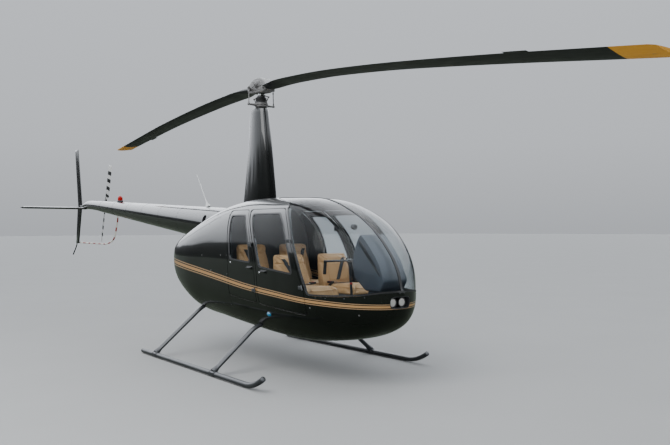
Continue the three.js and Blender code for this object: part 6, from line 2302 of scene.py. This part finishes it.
SIDE_LAMP_BASE = [(0, 0.030), (0.004, 0.030), (0.008, 0.026)]
SIDE_LAMP_GLASS = [(0.006, 0.023), (0.016, 0.020), (0.023, 0.013), (0.026, 0.004)]
SIDE_LAMP_AT, SIDE_LAMP_STRETCH = (1.126, 0.631), 1.5


def side_lamp_part(name, profile):
    """A turned part of the side lamp, stretched fore and aft, on the right flank."""
    piece = turned(name, profile, (0, 0.004, 0), (0, -1, 0), 32)
    piece.data.transform(Matrix.Diagonal((SIDE_LAMP_STRETCH, 1, 1, 1)))
    return onto_flank(piece, *SIDE_LAMP_AT)


lamp_base = side_lamp_part("base", SIDE_LAMP_BASE)
lamp_cover = side_lamp_part("glass", SIDE_LAMP_GLASS)
settle(smooth(mirrored(lamp_base, "side_lamp_base_left")), "airframe", "dark_trim", RUBBER)
settle(smooth(mirrored(lamp_cover, "side_lamp_left"), 60), "airframe", "red_lens", RED_LENS)
settle(smooth(joined("side_lamp_base_right", [lamp_base])), "airframe", "dark_trim", RUBBER)
settle(smooth(joined("side_lamp_right", [lamp_cover]), 60), "airframe", "lamp", GREEN_LENS)

COMPASS = Vector((1.715, 0, 1.500))
COMPASS_FACES = COMPASS + Vector((-1, 0, 0.1))
COMPASS_CASE = [(-0.026, 0.016), (-0.022, 0.026), (0.0, 0.030), (0.022, 0.026), (0.026, 0.016)]
compass_case = turned("compass", COMPASS_CASE, COMPASS, COMPASS_FACES, 36)
bracket = rod("bracket", COMPASS + Vector((0, 0, 0.02)), COMPASS + Vector((0.012, 0, 0.052)), 0.006, 16)
settle(smooth(inside_cabin(joined("compass", [compass_case, bracket])), 50), "airframe", "dark_trim",
       DARK_TRIM)
card = turned("compass_card", [(0.024, 0.017), (0.030, 0.016), (0.031, 0.013)], COMPASS, COMPASS_FACES, 32)
settle(smooth(card), "airframe", "white_paint", WHITE_PAINT)

# %% [markdown]
# ## Tail cone joints
# The cone is rolled from short skins that lap over each other, with a double row of rivets at every lap and
# two rows along the top. An oval vent is set in its right side, near the root. Its opening is not cut: a
# shallow dish in flat near-black without shine is the painted shade of the vent's dark inside.

# %% Tail cone laps
LAPS = (-1.900, -2.560, -3.220, -3.880, -4.540, -5.200)


LAP_PROUD, LAP_RIVETS, RIVETS_ROUND = 0.0011, 0.008, 28
LAP_SHAPE = ((0.0155, 0.0), (0.0150, LAP_PROUD), (-0.0150, LAP_PROUD), (-0.0155, 0.0))
TOP_ROWS, TOP_RIVETS, TOP_FROM, TOP_STEP = (9, 14), 76, -1.45, 0.060


def cone_ring(x, grow, sides=48):
    """A ring on the cone's skin, or a little proud of it."""
    rows = np.array(faired(TAIL_SECTIONS, 8))
    top, bottom = (float(np.interp(-x, -rows[:, 0], rows[:, k])) for k in (1, 2))
    return round_ring(x, top, bottom, sides, grow)


VENT, VENT_STRETCH = Vector((-1.035, -0.214, 1.613)), (1, 1.4, 1.4, 1)
VENT_DISH = [(0, 0.038), (0.005, 0.039), (0.007, 0.036), (0.0062, 0.032)]
vent = turned("cone_vent", VENT_DISH, VENT + Vector((0, 0.004, 0)), VENT + Vector((0, -0.94, 0.34)), 32)
vent.data.transform(Matrix.Translation(VENT) @ Matrix.Diagonal(VENT_STRETCH) @ Matrix.Translation(-VENT))
# painted shade: the vent's opening is not cut, so this flat near-black dish without shine stands for its shaded
# inside
VENT_PAINTED_SHADE = grained("vent_painted_shade", (0.004, 0.004, 0.005), (0.008, 0.008, 0.009), 0.9, 200, spec=0.03)
settle(smooth(vent), "airframe", "dark_trim", VENT_PAINTED_SHADE)
laps, rivets = [], []
for x in LAPS:
    laps.append(loft("lap", [cone_ring(x + dx, grow) for dx, grow in LAP_SHAPE]))
    for dx in (-LAP_RIVETS, LAP_RIVETS):
        middle = middle_of(cone_ring(x + dx, 0, RIVETS_ROUND))
        ring = cone_ring(x + dx, LAP_PROUD, RIVETS_ROUND)
        rivets += [(place, (place - middle).normalized()) for place in ring]
for k in range(TOP_RIVETS):
    ring = cone_ring(TOP_FROM - k * TOP_STEP, 0)
    rivets += [(ring[number], (ring[number] - middle_of(ring)).normalized()) for number in TOP_ROWS]


def rivet_cloud(name, spots, radius=0.0030, height=0.0010):
    """All the rivets of a piece, each a small domed head copied from one."""
    clear_selection()
    bpy.ops.mesh.primitive_cone_add(vertices=8, radius1=radius, radius2=radius * 0.55, depth=height)
    head = added("rivet")
    clones = []
    for place, out in spots:
        clone = copy_of(head, "rivet")
        upright = out.to_track_quat("Z", "Y").to_matrix().to_4x4()
        clone.data.transform(Matrix.Translation(place + out * height * 0.3) @ upright)
        clones.append(clone)
    removed(head)
    return joined(name, clones)


settle(smooth(joined("tail_cone_laps", laps)), "airframe", "black_paint", PLAIN_BLACK)
settle(smooth(rivet_cloud("tail_cone_rivets", rivets)), "airframe", "black_paint", PLAIN_BLACK)

# %% [markdown]
# ## Clearing up
# The walls that the panels were cut from are removed.

# %% Finish
for tool in (skin_wall, pane_wall, seal_wall, liner_core):
    removed(tool)
